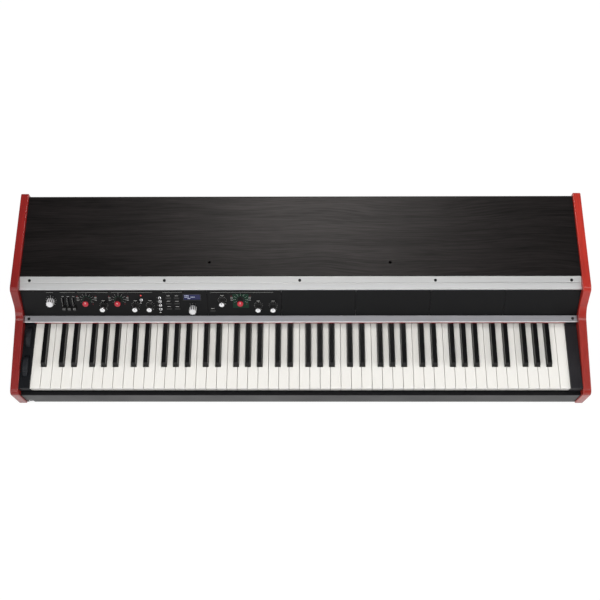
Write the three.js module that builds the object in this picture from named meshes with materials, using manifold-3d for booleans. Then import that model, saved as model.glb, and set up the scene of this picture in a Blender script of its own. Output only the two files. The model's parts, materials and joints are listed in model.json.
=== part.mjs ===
// A slab stage piano: wooden side panels, a lid board, aluminium trim rails, a sloped control panel
// and a full hinged keyboard on a steel key frame. Millimetres, +X to the treble, +Y to the rear,
// +Z up. The origin is on the floor, under the middle of the case.
import * as THREE from "three";
import { mergeVertices } from "three/addons/utils/BufferGeometryUtils.js";
import Module from "manifold-3d";

const wasm = await Module();
wasm.setup();

// Sizes of the whole case. Setbacks are measured back from the fronts of the white keys,
// and rises up from their tops.
const caseDepth = 457;
const sideThickness = 18.5;
const leftBlockRoom = 24.5;
const rightBlockRoom = 26.5;
const sideAboveKeys = 95;
const sideBelowKeys = 84;
const footHeight = 8;
const keySetback = 13.6;
const seatGap = 0.3;
const cutOverrun = 1;

// Side panel outline
const armFrontRise = 1.7;
const valleySetback = 171.4;
const valleyRise = 29.2;
const kneeSetback = 202.8;
const noseRadius = 12;
const valleyRadius = 40;
const kneeRadius = 14;
const heelRadius = 4;
const sideEdgeRound = 2;

// Lid board, rear panel and base board
const lidRecess = 6;
const lidSetback = 237;
const lidThickness = 12;
const lidEdgeRadius = 3;
const lidRearRecess = 5.4;
const restHoleSpacing = 412;
const restHoleInset = 34;
const restHoleRadius = 3.2;
const rearRecess = 6;
const rearSheet = 3;
const baseThickness = 6;
const footRadius = 14;
const footFrontSetback = 40;
const footRearInset = 37.4;
const footEndInset = 90;

// Aluminium trim rails
const upperTrimWidth = 30.5;
const upperTrimLip = 3.5;
const upperTrimTilt = THREE.MathUtils.degToRad(12.4);
const trimNoseRadius = 1.4;
const trimGrooveWidth = 1.6;
const trimGrooveDepth = 0.9;
const trimGrooveShare = 0.52;
const trimFlange = 9;
const trimWall = 2;
const lidTongue = 13;
const lowerTrimReach = 15.7;
const lowerTrimRise = 13;
const lowerTrimLip = 2.2;
const lowerTrimWidth = 15.6;
const lowerTrimTilt = THREE.MathUtils.degToRad(12);

// Sloped control panel: the foot is the lower edge of its face
const panelFootSetback = 167.2;
const panelFootRise = 15;
const panelTuck = 1.3;
const panelSheet = 2.5;
const panelSeam = 0.5;
const mainModuleWidth = 425;
const bayCount = 5;
const bayRailHeight = 10;
const bayRailWall = 3;
const bayRailDepth = 8;
const bayRailInset = 12;
const bayFlangeWall = 2;

// Keyboard
const whiteCount = 52;
const whitePitch = 23.5;
const keyGap = 1;
const whiteFrontDepth = 21;
const whiteLip = 3;
const whiteLipProud = 1.2;
const whiteNose = 1;
const blackWidth = 12.6;
const blackTopWidth = 9.6;
const blackHeight = 11.5;
const blackSetback = 51;
const blackCapTuck = 2.5;
const blackToe = 6;
const blackToeTaper = 1.2;
const blackStickDepth = 14;
const notchClearance = 0.6;
const notchLead = 1;
const sharpOffset = 2.3;
const sharpOffsetWide = 3.4;
const whiteTailTuck = 6.5;
const whiteTailTrim = 2;
const whiteTailTop = 3;
const whiteTailBottom = 18;
const blackTailTrim = 2.2;
const blackTailTop = 2;
const blackTailBottom = 8;

// Pivots: a rod that runs through the tails of the single keys, and square bars that carry the banks
const whitePivotSetback = 222;
const whitePivotDrop = 13;
const blackPivotSetback = 238;
const blackPivotDrop = 3;
const pivotRodRadius = 2.2;
const pivotBore = 2.6;
const pivotEye = 5.4;
const pivotBar = 5;
const pivotBarBite = 1;
const journalLength = 1.6;

// Key frame
const frameFrontSetback = 4;
const frameRearSetback = 250;
const frameWall = 3;
const stopRailDepth = 24;
const stopRailDrop = 31.5;
const stopRailWebInset = 11;
const frameRearHeight = 28;
const bracketWall = 3.6;
const bracketMargin = 8;
const bracketTopMargin = 7;

// Front rail and the blocks at both ends of the keyboard
const frontRailFace = 10;
const frontRailThickness = 8.4;
const frontRailDrop = 21.5;
const frontRailBaseGap = 0.5;
const blockRise = 4;
const blockEdgeRadius = 2;
const blockShoulderReach = 1.9;
const blockRearReach = 0.8;
const blockKeyGap = 0.3;

// Headphone socket in the front rail
const phonesInset = 10.4;
const phonesDrop = 73.3;
const phonesArchRadius = 6.5;
const phonesHousing = 18;
const phonesHousingHeight = 15;
const phonesHousingDepth = 15;
const jackBore = 3.3;
const jackDepth = 15;

// Performance wheels
const wheelRadius = 30;
const wheelWidth = 11;
const wheelProud = 11.7;
const wheelClearance = 1;
const wheelRim = 1.5;
const wheelSideGap = 0.6;
const wheelAxleRadius = 2.5;
const wheelAxleLength = 3;
const frontWheelSetback = 51;
const rearWheelSetback = 119.5;
const thumbGrooveRadius = 7;
const thumbGrooveDepth = 2.2;
const modWheelRest = THREE.MathUtils.degToRad(30);

// Controls on the slope
const shaftRadius = 3;
const shaftLength = 6;
const knobLift = 0.6;
const smallSkirtRadius = 7.4;
const smallSkirtHeight = 3;
const smallBodyRadius = 6.4;
const smallTopRadius = 5.9;
const smallKnobHeight = 19;
const smallKnobEdge = 1;
const selectorSkirtRadius = 8.6;
const selectorSkirtHeight = 2.6;
const selectorBodyRadius = 7.6;
const selectorTopRadius = 6.8;
const selectorHeight = 19;
const selectorEdge = 1.4;
const pointerLength = 10.4;
const pointerWidth = 3;
const flutedRadius = 9.3;
const flutedHeight = 19;
const flutedBevel = 1.2;
const fluteDepth = 1.3;
const fluteCount = 10;
const crestShare = 0.4;
const valleyShare = 0.7;
const faderPitch = 12;
const faderSlotLength = 30;
const faderSlotWidth = 2.2;
const faderStemWidth = 1.6;
const faderStemLength = 4;
const faderCapWidth = 7;
const faderCapLength = 9;
const faderCapHeight = 7;
const faderWaist = 1.6;
const faderStopGap = 0.5;
const toggleNutRadius = 4;
const toggleNutHeight = 1.4;
const toggleBushRadius = 2.9;
const toggleBushHeight = 3;
const toggleBore = 1.9;
const toggleBallRadius = 1.6;
const toggleNeckRadius = 0.85;
const toggleTipRadius = 1.7;
const togglePivotHeight = 1.5;
const toggleReach = 10;
const toggleTail = 2;
const toggleTilt = THREE.MathUtils.degToRad(12);
const buttonWidth = 12;
const buttonHeight = 5;
const buttonProud = 2.2;
const buttonStem = 5;
const buttonEdge = 0.6;
const displayWidth = 38;
const displayHeight = 15;
const displayThickness = 1.5;
const displayRecess = 0.4;

// Places of the controls: share of the way across their module, and share of the way up the slope
const volumeAcrossShare = 0.1588;
const volumeRiseShare = 0.61;
const faderAcrossShare = 0.2529;
const faderRiseShare = 0.5;
const mainSelectorAcrossShares = [0.3518, 0.5235];
const moduleSelectorAcrossShares = [0.4496];
const selectorRiseShare = 0.63;
const mainKnobAcrossShares = [0.4388, 0.6129, 0.6906];
const mainKnobRiseShare = 0.42;
const moduleKnobAcrossShares = [0.202, 0.6855, 0.886];
const moduleKnobRiseShares = [0.615, 0.4, 0.4];
const encoderAcrossShare = 0.9212;
const encoderRiseShare = 0.32;
const miniToggleAcrossShare = 0.6459;
const miniToggleRiseShare = 0.63;
const toggleAcrossShare = 0.7459;
const togglePitch = 10.8;
const toggleColumnShare = 0.495;
const buttonAcrossShares = [0.7918, 0.8365];
const buttonPitch = 15.4;
const buttonColumnShare = 0.5;
const moduleButtonAcrossShare = 0.0663;
const moduleButtonRiseShare = 0.22;
const displayAcrossShare = 0.9188;
const displayRiseShare = 0.72;

// Rear sockets: each has a bore or a window in the sheet and a housing behind it.
// Insets are measured from the inside of the left side panel.
const socketRise = 5;
const socketWall = 3;
const inletInset = 76.5;
const inletWidth = 24;
const inletHeight = 16.4;
const inletDepth = 15;
const rockerInset = 118.5;
const rockerWidth = 12;
const rockerHeight = 19;
const rockerDepth = 12;
const rockerProud = 2.6;
const rockerGap = 0.4;
const rockerPinRadius = 1.5;
const rockerPinLength = 1.2;
const rockerTilt = THREE.MathUtils.degToRad(7);
const jackInsets = [196.5, 221.5, 266.5, 291.5];
const jackNutRadius = 6.5;
const jackNutProud = 2;
const dinInsets = [336.5, 364.5];
const dinRadius = 7.6;
const dinDepth = 10;
const usbInset = 396.5;
const usbWidth = 8.5;
const usbHeight = 7.8;
const usbDepth = 12;

// Numbers of facets
const boreFacets = 10;
const knobFacets = 16;
const wheelFacets = 20;
const footFacets = 10;
const toggleFacets = 8;
const nutFacets = 6;
const cornerSteps = 3;
const valleySteps = 8;
const kneeSteps = 6;

// Values that follow from the sizes above
const lowerTrimSetback = panelFootSetback - lowerTrimReach;
const blackCapEnd = lowerTrimSetback + blackCapTuck;
const whiteTailSetback = lowerTrimSetback + whiteTailTuck;
const keyboardSpan = whiteCount * whitePitch;
const innerHalf = (leftBlockRoom + keyboardSpan + rightBlockRoom) / 2;
const outerHalf = innerHalf + sideThickness;
const fitHalf = innerHalf - seatGap;
const caseFront = -keySetback;
const caseRear = caseDepth - keySetback;
const caseTop = sideAboveKeys;
const caseBottom = -sideBelowKeys;
const baseTop = caseBottom + baseThickness;
const floorOnBase = baseTop + seatGap;
const lidTop = caseTop - lidRecess;
const lidBottom = lidTop - lidThickness;
const rearFace = caseRear - rearRecess;
const keyboardLeft = leftBlockRoom - innerHalf;
const keyboardRight = keyboardLeft + keyboardSpan;
const black = new THREE.Color(0.035, 0.035, 0.038);

// Solids and meshes

function solidFrom(geometry) {
  const bare = geometry.index ? geometry.toNonIndexed() : geometry.clone();
  bare.deleteAttribute("normal");
  bare.deleteAttribute("uv");
  const merged = mergeVertices(bare, 1e-4);
  const corners = [];
  for (let i = 0; i < merged.index.count; i += 3) {
    const face = [0, 1, 2].map((k) => merged.index.getX(i + k));
    const real = face[0] !== face[1] && face[1] !== face[2] && face[2] !== face[0];
    if (real) corners.push(...face);
  }
  return new wasm.Manifold(
    new wasm.Mesh({
      numProp: 3,
      vertProperties: merged.attributes.position.array,
      triVerts: new Uint32Array(corners),
    }),
  );
}

function geometryFrom(solid) {
  const mesh = solid.getMesh();
  const geometry = new THREE.BufferGeometry();
  const positions = new Float32Array(mesh.vertProperties);
  geometry.setAttribute("position", new THREE.BufferAttribute(positions, mesh.numProp));
  geometry.setIndex(new THREE.BufferAttribute(new Uint32Array(mesh.triVerts), 1));
  geometry.computeVertexNormals();
  return geometry;
}

function joined(solids) {
  return solids.reduce((whole, solid) => whole.add(solid));
}

function cutAway(body, tools) {
  return tools.reduce((rest, tool) => rest.subtract(tool), body);
}

function piece(name, solid, look) {
  const mesh = new THREE.Mesh(geometryFrom(solid), new THREE.MeshStandardMaterial(look));
  mesh.name = name;
  return mesh;
}

// A box between two corners
function block(x0, x1, y0, y1, z0, z1) {
  const box = new THREE.BoxGeometry(x1 - x0, y1 - y0, z1 - z0);
  box.translate((x0 + x1) / 2, (y0 + y1) / 2, (z0 + z1) / 2);
  return solidFrom(box);
}

// An outline of corners [across, up, radius, steps], with each radius drawn as an arc
function outline(corners) {
  const points = [];
  corners.forEach(([across, up, radius = 0, steps = cornerSteps], i) => {
    const here = new THREE.Vector2(across, up);
    if (!radius) {
      points.push(here);
      return;
    }
    const before = corners[(i + corners.length - 1) % corners.length];
    const after = corners[(i + 1) % corners.length];
    const toBefore = new THREE.Vector2(before[0], before[1]).sub(here).normalize();
    const toAfter = new THREE.Vector2(after[0], after[1]).sub(here).normalize();
    const halfTurn = toBefore.angleTo(toAfter) / 2;
    const bisector = toBefore.clone().add(toAfter).normalize();
    const centre = here.clone().addScaledVector(bisector, radius / Math.sin(halfTurn));
    const reach = radius / Math.tan(halfTurn);
    const start = here.clone().addScaledVector(toBefore, reach).sub(centre);
    const end = here.clone().addScaledVector(toAfter, reach).sub(centre);
    const sweep = Math.atan2(start.cross(end), start.dot(end));
    for (let step = 0; step <= steps; step += 1) {
      const spoke = start.clone().rotateAround(new THREE.Vector2(), (sweep * step) / steps);
      points.push(spoke.add(centre));
    }
  });
  return points;
}

// An outline in the plane of rear and up, extruded across the case
const acrossCase = new THREE.Matrix4().makeBasis(
  new THREE.Vector3(0, 1, 0),
  new THREE.Vector3(0, 0, 1),
  new THREE.Vector3(1, 0, 0),
);

function profileAcross(corners, x0, x1, edge = 0) {
  const geometry = new THREE.ExtrudeGeometry(new THREE.Shape(outline(corners)), {
    depth: x1 - x0 - edge * 2,
    bevelEnabled: edge > 0,
    bevelThickness: edge,
    bevelSize: edge,
    bevelOffset: -edge,
    bevelSegments: 1,
    curveSegments: 1,
  });
  geometry.applyMatrix4(acrossCase);
  geometry.translate(x0 + edge, 0, 0);
  return solidFrom(geometry);
}

// A cylinder along X, Y or Z, from one coordinate to another
function rod(axis, radius, start, end, centre, facets = boreFacets) {
  const geometry = new THREE.CylinderGeometry(radius, radius, end - start, facets);
  if (axis === "x") geometry.rotateZ(-Math.PI / 2);
  if (axis === "z") geometry.rotateX(Math.PI / 2);
  const middle = (start + end) / 2;
  if (axis === "x") geometry.translate(middle, centre[0], centre[1]);
  if (axis === "y") geometry.translate(centre[0], middle, centre[1]);
  if (axis === "z") geometry.translate(centre[0], centre[1], middle);
  return solidFrom(geometry);
}

// A turned piece about Z, from its profile [radius, height]
function turned(profile, facets) {
  const points = profile.map(([radius, height]) => new THREE.Vector2(radius, height));
  const geometry = new THREE.LatheGeometry(points, facets);
  geometry.rotateX(Math.PI / 2);
  return solidFrom(geometry);
}

// A bar along Y, through rectangles or outlines that have the same number of corners
function loftBack(sections) {
  const positions = [];
  const add = (...corners) => corners.forEach((corner) => positions.push(...corner));
  const places = sections.map(([y, corners]) => corners.map(([x, z]) => [x, y, z]));
  const front = places[0];
  const back = places[places.length - 1];
  for (let j = 1; j + 1 < front.length; j += 1) {
    add(front[0], front[j], front[j + 1]);
    add(back[0], back[j + 1], back[j]);
  }
  for (let i = 0; i + 1 < places.length; i += 1) {
    const near = places[i];
    const far = places[i + 1];
    for (let j = 0; j < near.length; j += 1) {
      const next = (j + 1) % near.length;
      add(near[j], far[j], far[next]);
      add(near[j], far[next], near[next]);
    }
  }
  const geometry = new THREE.BufferGeometry();
  geometry.setAttribute("position", new THREE.Float32BufferAttribute(positions, 3));
  return solidFrom(geometry);
}

// Looks
const redWood = { color: new THREE.Color(0.45, 0.045, 0.03), roughness: 0.35, metalness: 0 };
const blackWood = { color: new THREE.Color(0.02, 0.017, 0.016), roughness: 0.45, metalness: 0 };
const brushedAluminium = { color: new THREE.Color(0.55, 0.56, 0.57), roughness: 0.38, metalness: 0.85 };
const blackSheet = { color: black, roughness: 0.4, metalness: 0.1 };
const blackPlastic = { color: black, roughness: 0.35, metalness: 0 };
const whiteKeyLook = { color: new THREE.Color(0.83, 0.82, 0.78), roughness: 0.25, metalness: 0 };
const blackKeyLook = { color: new THREE.Color(0.012, 0.012, 0.012), roughness: 0.35, metalness: 0 };
const zincSteel = { color: new THREE.Color(0.5, 0.5, 0.48), roughness: 0.45, metalness: 0.9 };
const silver = { color: new THREE.Color(0.8, 0.8, 0.8), roughness: 0.22, metalness: 0.9 };
const redPlastic = { color: new THREE.Color(0.6, 0.02, 0.04), roughness: 0.35, metalness: 0 };
const blueGlass = { color: new THREE.Color(0.03, 0.04, 0.16), roughness: 0.1, metalness: 0 };

// The case group sits with its own origin at the fronts and tops of the white keys
const stagePiano = new THREE.Group();
const atKeys = new THREE.Group();
atKeys.position.set(0, keySetback - caseDepth / 2, sideBelowKeys + footHeight);
stagePiano.add(atKeys);

// Side panels

const sideCorners = [
  [caseFront, caseBottom, heelRadius],
  [caseRear, caseBottom, heelRadius],
  [caseRear, caseTop, heelRadius],
  [kneeSetback, caseTop, kneeRadius, kneeSteps],
  [valleySetback, valleyRise, valleyRadius, valleySteps],
  [caseFront, armFrontRise, noseRadius, kneeSteps],
];

const leftPanel = profileAcross(sideCorners, -outerHalf, -innerHalf, sideEdgeRound);
const rightPanel = profileAcross(sideCorners, innerHalf, outerHalf, sideEdgeRound);
atKeys.add(piece("side_panel_left", leftPanel, redWood));
atKeys.add(piece("side_panel_right", rightPanel, redWood));

// Slope of the control panel, which runs from its foot to just under the lip of the upper trim rail

const trimRear = new THREE.Vector2(lidSetback - seatGap, lidTop);
const trimDown = new THREE.Vector2(-Math.cos(upperTrimTilt), -Math.sin(upperTrimTilt));
const trimFront = trimRear.clone().addScaledVector(trimDown, upperTrimWidth);
const panelTopSetback = trimFront.x + panelTuck;
const panelTopRise = trimFront.y - upperTrimLip - seatGap;
const slopeRun = panelTopSetback - panelFootSetback;
const slopeClimb = panelTopRise - panelFootRise;
const slopeAngle = Math.atan2(slopeClimb, slopeRun);
const slopeLength = Math.hypot(slopeRun, slopeClimb);

function onSlope(along, out) {
  return new THREE.Vector2(
    panelFootSetback + along * Math.cos(slopeAngle) - out * Math.sin(slopeAngle),
    panelFootRise + along * Math.sin(slopeAngle) + out * Math.cos(slopeAngle),
  );
}

// Where a line from start, in a direction, meets the plane at a height out from the slope
function meetsSlope(start, direction, out) {
  const outward = new THREE.Vector2(-Math.sin(slopeAngle), Math.cos(slopeAngle));
  const plane = onSlope(0, out);
  const distance = plane.clone().sub(start).dot(outward) / direction.dot(outward);
  return start.clone().addScaledVector(direction, distance);
}

// Upper trim rail: a grooved top, a rolled front lip, a flange behind the panel, a tongue under the lid

const lipBottom = trimFront.clone().sub(new THREE.Vector2(0, upperTrimLip));
const flangeFront = -(panelSheet + seatGap);
const flangeBack = flangeFront - trimWall;
const trimUp = trimDown.clone().negate();
const tongueTop = lidBottom - seatGap;
const tongueBottom = tongueTop - trimWall;
const webRear = trimRear.x;
const webFront = webRear - trimWall;
const webTop = lipBottom.y + ((webFront - lipBottom.x) * trimUp.y) / trimUp.x;

function onTrim(distance, depth = 0) {
  const place = trimFront.clone().addScaledVector(trimUp, distance);
  return [place.x + depth * trimUp.y, place.y - depth * trimUp.x];
}

const grooveMiddle = upperTrimWidth * trimGrooveShare;
const upperTrimCorners = [
  [trimFront.x, trimFront.y, trimNoseRadius],
  [lipBottom.x, lipBottom.y],
  meetsSlope(lipBottom, trimUp, flangeFront).toArray(),
  onSlope(slopeLength - trimFlange, flangeFront).toArray(),
  onSlope(slopeLength - trimFlange, flangeBack).toArray(),
  meetsSlope(lipBottom, trimUp, flangeBack).toArray(),
  [webFront, webTop],
  [webFront, tongueBottom],
  [webRear + lidTongue, tongueBottom],
  [webRear + lidTongue, tongueTop],
  [webRear, tongueTop],
  [trimRear.x, trimRear.y],
  onTrim(grooveMiddle + trimGrooveWidth / 2),
  onTrim(grooveMiddle, trimGrooveDepth),
  onTrim(grooveMiddle - trimGrooveWidth / 2),
];
const upperTrim = profileAcross(upperTrimCorners, -fitHalf, fitHalf);
atKeys.add(piece("upper_trim_rail", upperTrim, brushedAluminium));

// Lower trim rail: a narrow top plate, and a channel that holds the foot of the panel

const lowerFront = new THREE.Vector2(lowerTrimSetback, lowerTrimRise + lowerTrimLip);
const lowerUp = new THREE.Vector2(Math.cos(lowerTrimTilt), Math.sin(lowerTrimTilt));
const lowerRear = lowerFront.clone().addScaledVector(lowerUp, lowerTrimWidth);
const lowerTrimCorners = [
  [lowerTrimSetback, lowerTrimRise],
  onSlope(-seatGap - trimWall, flangeBack).toArray(),
  onSlope(trimFlange, flangeBack).toArray(),
  onSlope(trimFlange, flangeFront).toArray(),
  onSlope(-seatGap, flangeFront).toArray(),
  onSlope(-seatGap, trimWall).toArray(),
  lowerRear.toArray(),
  [lowerFront.x, lowerFront.y, trimNoseRadius],
];
const lowerTrim = profileAcross(lowerTrimCorners, -fitHalf, fitHalf);
atKeys.add(piece("lower_trim_rail", lowerTrim, brushedAluminium));

// Lid board with its two holes for a music rest

const lidRear = caseRear - lidRearRecess;
const lidBoard = profileAcross(
  [
    [lidSetback, lidBottom],
    [lidRear, lidBottom],
    [lidRear, lidTop, lidEdgeRadius],
    [lidSetback, lidTop],
  ],
  -fitHalf,
  fitHalf,
);
const restHoles = [-1, 1].map((side) =>
  rod(
    "z",
    restHoleRadius,
    lidBottom - cutOverrun,
    lidTop + cutOverrun,
    [(side * restHoleSpacing) / 2, lidSetback + restHoleInset],
  ),
);
atKeys.add(piece("lid_board", cutAway(lidBoard, restHoles), blackWood));

// Base board on six feet

const baseFront = frontRailThickness - frontRailFace + seatGap;
const baseBoard = block(-fitHalf, fitHalf, baseFront, rearFace, caseBottom, baseTop);
const footRow = [-1, 0, 1].map((side) => side * (innerHalf - footEndInset));
const feet = footRow.flatMap((x) =>
  [footFrontSetback, rearFace - footRearInset].map((y) =>
    rod("z", footRadius, caseBottom - footHeight, caseBottom + cutOverrun, [x, y], footFacets),
  ),
);
atKeys.add(piece("base_board", joined([baseBoard, ...feet]), blackWood));

// Rear panel: a steel sheet with a socket housing behind each opening

const rearInside = rearFace - rearSheet;
const inletPlace = inletInset - innerHalf;
const rockerPlace = rockerInset - innerHalf;
const usbPlace = usbInset - innerHalf;
const jackPlaces = jackInsets.map((inset) => inset - innerHalf);
const dinPlaces = dinInsets.map((inset) => inset - innerHalf);

// A housing that stands on the inside of the sheet, as wide, high and deep as its socket and its walls
function housing(place, width, height, depth) {
  const halfWidth = width / 2 + socketWall;
  const halfHeight = height / 2 + socketWall;
  return block(
    place - halfWidth,
    place + halfWidth,
    rearFace - depth - socketWall,
    rearInside + cutOverrun,
    socketRise - halfHeight,
    socketRise + halfHeight,
  );
}

function window(place, width, height, depth) {
  return block(
    place - width / 2,
    place + width / 2,
    rearFace - depth,
    rearFace + cutOverrun,
    socketRise - height / 2,
    socketRise + height / 2,
  );
}

const rockerWindow = [rockerPlace, rockerWidth + rockerGap * 2, rockerHeight + rockerGap * 2];
const rockerPivot = rearFace - rockerDepth / 2;
const roundSockets = [
  ...jackPlaces.map((place) => [place, jackBore, jackDepth]),
  ...dinPlaces.map((place) => [place, dinRadius, dinDepth]),
];
const rearSolids = [
  block(-fitHalf, fitHalf, rearInside, rearFace, floorOnBase, lidBottom - seatGap),
  housing(inletPlace, inletWidth, inletHeight, inletDepth),
  housing(...rockerWindow, rockerDepth),
  housing(usbPlace, usbWidth, usbHeight, usbDepth),
  ...roundSockets.map(([place, radius, depth]) => housing(place, radius * 2, radius * 2, depth)),
  ...jackPlaces.map((place) =>
    rod(
      "y",
      jackNutRadius,
      rearFace - cutOverrun,
      rearFace + jackNutProud,
      [place, socketRise],
      nutFacets,
    ),
  ),
];
const rearCuts = [
  window(inletPlace, inletWidth, inletHeight, inletDepth),
  window(...rockerWindow, rockerDepth),
  window(usbPlace, usbWidth, usbHeight, usbDepth),
  ...roundSockets.map(([place, radius, depth]) => {
    const mouth = rearFace + jackNutProud + cutOverrun;
    return rod("y", radius, rearFace - depth, mouth, [place, socketRise]);
  }),
  rod(
    "x",
    rockerPinRadius + seatGap,
    rockerPlace - rockerWidth / 2 - rockerPinLength - rockerGap,
    rockerPlace + rockerWidth / 2 + rockerPinLength + rockerGap,
    [rockerPivot, socketRise],
  ),
];
atKeys.add(piece("rear_panel", cutAway(joined(rearSolids), rearCuts), blackSheet));

// Power rocker: a paddle with two flats that meet over its pin, resting on one of them

const rockerHalf = rockerHeight / 2;
const rockerFace = rockerDepth / 2 + rockerProud;
const rockerDip = rockerHalf * Math.tan(rockerTilt);
const rockerBack = rockerDepth / 2 - rockerGap - rockerDip;
const rockerPaddle = profileAcross(
  [
    [-rockerBack, -rockerHalf / 2],
    [rockerFace - rockerDip, -rockerHalf + rockerGap],
    [rockerFace - rockerDip * 2, 0],
    [rockerFace - rockerDip, rockerHalf - rockerGap],
    [-rockerBack, rockerHalf / 2],
  ],
  -rockerWidth / 2,
  rockerWidth / 2,
);
const rockerPin = rod(
  "x",
  rockerPinRadius,
  -rockerWidth / 2 - rockerPinLength,
  rockerWidth / 2 + rockerPinLength,
  [0, 0],
);
const rocker = piece("power_rocker", rockerPaddle.add(rockerPin), blackPlastic);
rocker.position.set(rockerPlace, rockerPivot, socketRise);
rocker.rotation.x = -rockerTilt;
atKeys.add(rocker);

// Front rail under the key fronts, with the headphone socket behind an arched notch

const railFront = -frontRailFace;
const railBack = railFront + frontRailThickness;
const railBottom = caseBottom + frontRailBaseGap;
const phonesPlace = -innerHalf + phonesInset;
const railBoard = profileAcross(
  [
    [railFront, railBottom],
    [railBack, railBottom],
    [railBack, -frontRailDrop],
    [railFront, -frontRailDrop, blockEdgeRadius],
  ],
  -fitHalf,
  fitHalf,
);
const phonesBody = block(
  phonesPlace - phonesHousing / 2,
  phonesPlace + phonesHousing / 2,
  railBack - cutOverrun,
  railBack + phonesHousingDepth,
  floorOnBase,
  floorOnBase + phonesHousingHeight,
);
const phonesMiddle = -phonesDrop;
const phonesArch = joined([
  rod(
    "y",
    phonesArchRadius,
    railFront - cutOverrun,
    railBack - cutOverrun / 2,
    [phonesPlace, phonesMiddle],
    footFacets,
  ),
  block(
    phonesPlace - phonesArchRadius,
    phonesPlace + phonesArchRadius,
    railFront - cutOverrun,
    railBack - cutOverrun / 2,
    railBottom - cutOverrun,
    phonesMiddle,
  ),
]);
const phonesBore = rod(
  "y",
  jackBore,
  railBack - cutOverrun,
  railBack + phonesHousingDepth - socketWall / 2,
  [phonesPlace, phonesMiddle],
);
const frontRail = cutAway(railBoard.add(phonesBody), [phonesArch, phonesBore]);
atKeys.add(piece("front_rail", frontRail, blackWood));

// Blocks beside the keyboard, which carry the ends of the lower trim rail

const blockFront = railBack + seatGap;
const blockShoulderSetback = lowerTrimSetback - blockShoulderReach;
const blockRearSetback = panelFootSetback + blockRearReach;
const blockSeat = lowerTrimRise - seatGap;
const trimUnderside = onSlope(-seatGap - trimWall, flangeBack);
const undersideFall = (trimUnderside.y - lowerTrimRise) / (trimUnderside.x - lowerTrimSetback);
const blockRearSeat = blockSeat + undersideFall * (blockRearSetback - lowerTrimSetback);

function blockCorners(frontBottom, step) {
  return [
    [frontBottom, floorOnBase],
    [blockRearSetback, floorOnBase],
    [blockRearSetback, blockRearSeat],
    [lowerTrimSetback, blockSeat],
    [blockShoulderSetback, blockRise],
    [blockFront, blockRise, blockEdgeRadius],
    ...step,
  ];
}

const phonesRoomTop = floorOnBase + phonesHousingHeight + seatGap;
const phonesRoomRear = railBack + phonesHousingDepth + seatGap;
const wheelBlockCorners = blockCorners(phonesRoomRear, [
  [blockFront, phonesRoomTop],
  [phonesRoomRear, phonesRoomTop],
]);
const wheelBlockRight = keyboardLeft + keyGap / 2 - blockKeyGap;
const wheelMiddle = (wheelBlockRight - fitHalf) / 2;
const wheelDrop = wheelRadius - wheelProud - blockRise;
const wheelSetbacks = { mod_wheel: frontWheelSetback, pitch_wheel: rearWheelSetback };
const wheelRooms = Object.values(wheelSetbacks).flatMap((setback) => {
  const slotHalf = wheelWidth / 2 + wheelSideGap;
  const axleHalf = wheelWidth / 2 + wheelAxleLength + seatGap;
  const centre = [setback, -wheelDrop];
  const wheelRoom = wheelRadius + wheelClearance;
  const axleRoom = wheelAxleRadius + seatGap;
  return [
    rod("x", wheelRoom, wheelMiddle - slotHalf, wheelMiddle + slotHalf, centre, wheelFacets),
    rod("x", axleRoom, wheelMiddle - axleHalf, wheelMiddle + axleHalf, centre),
  ];
});
const wheelBlock = cutAway(profileAcross(wheelBlockCorners, -fitHalf, wheelBlockRight), wheelRooms);
atKeys.add(piece("wheel_block", wheelBlock, blackWood));

const endBlockLeft = keyboardRight - keyGap / 2 + blockKeyGap;
const endBlock = profileAcross(blockCorners(blockFront, []), endBlockLeft, fitHalf);
atKeys.add(piece("end_block_right", endBlock, blackWood));

// Performance wheels: the front one has a thumb groove, the rear one springs back to its middle

function wheelSolid(grooved) {
  const half = wheelWidth / 2;
  const rimHalf = half - wheelRim;
  const shoulder = wheelRadius - wheelRim;
  const disc = turned(
    [
      [0, -half - wheelAxleLength],
      [wheelAxleRadius, -half - wheelAxleLength],
      [wheelAxleRadius, -half],
      [shoulder, -half],
      [wheelRadius, -rimHalf],
      [wheelRadius, rimHalf],
      [shoulder, half],
      [wheelAxleRadius, half],
      [wheelAxleRadius, half + wheelAxleLength],
      [0, half + wheelAxleLength],
    ],
    wheelFacets,
  );
  if (!grooved) return disc;
  const grooveCentre = wheelRadius + thumbGrooveRadius - thumbGrooveDepth;
  return disc.subtract(
    rod(
      "z",
      thumbGrooveRadius,
      -half - cutOverrun,
      half + cutOverrun,
      [-grooveCentre, 0],
    ),
  );
}

Object.entries(wheelSetbacks).forEach(([name, setback]) => {
  const wheel = piece(name, wheelSolid(name === "mod_wheel"), blackPlastic);
  wheel.position.set(wheelMiddle, setback, -wheelDrop);
  wheel.rotation.y = Math.PI / 2;
  if (name === "mod_wheel") wheel.rotation.x = modWheelRest;
  atKeys.add(wheel);
});

// Key frame: a folded steel tray with the stop rail in front, and brackets that hold the pivots

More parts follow.
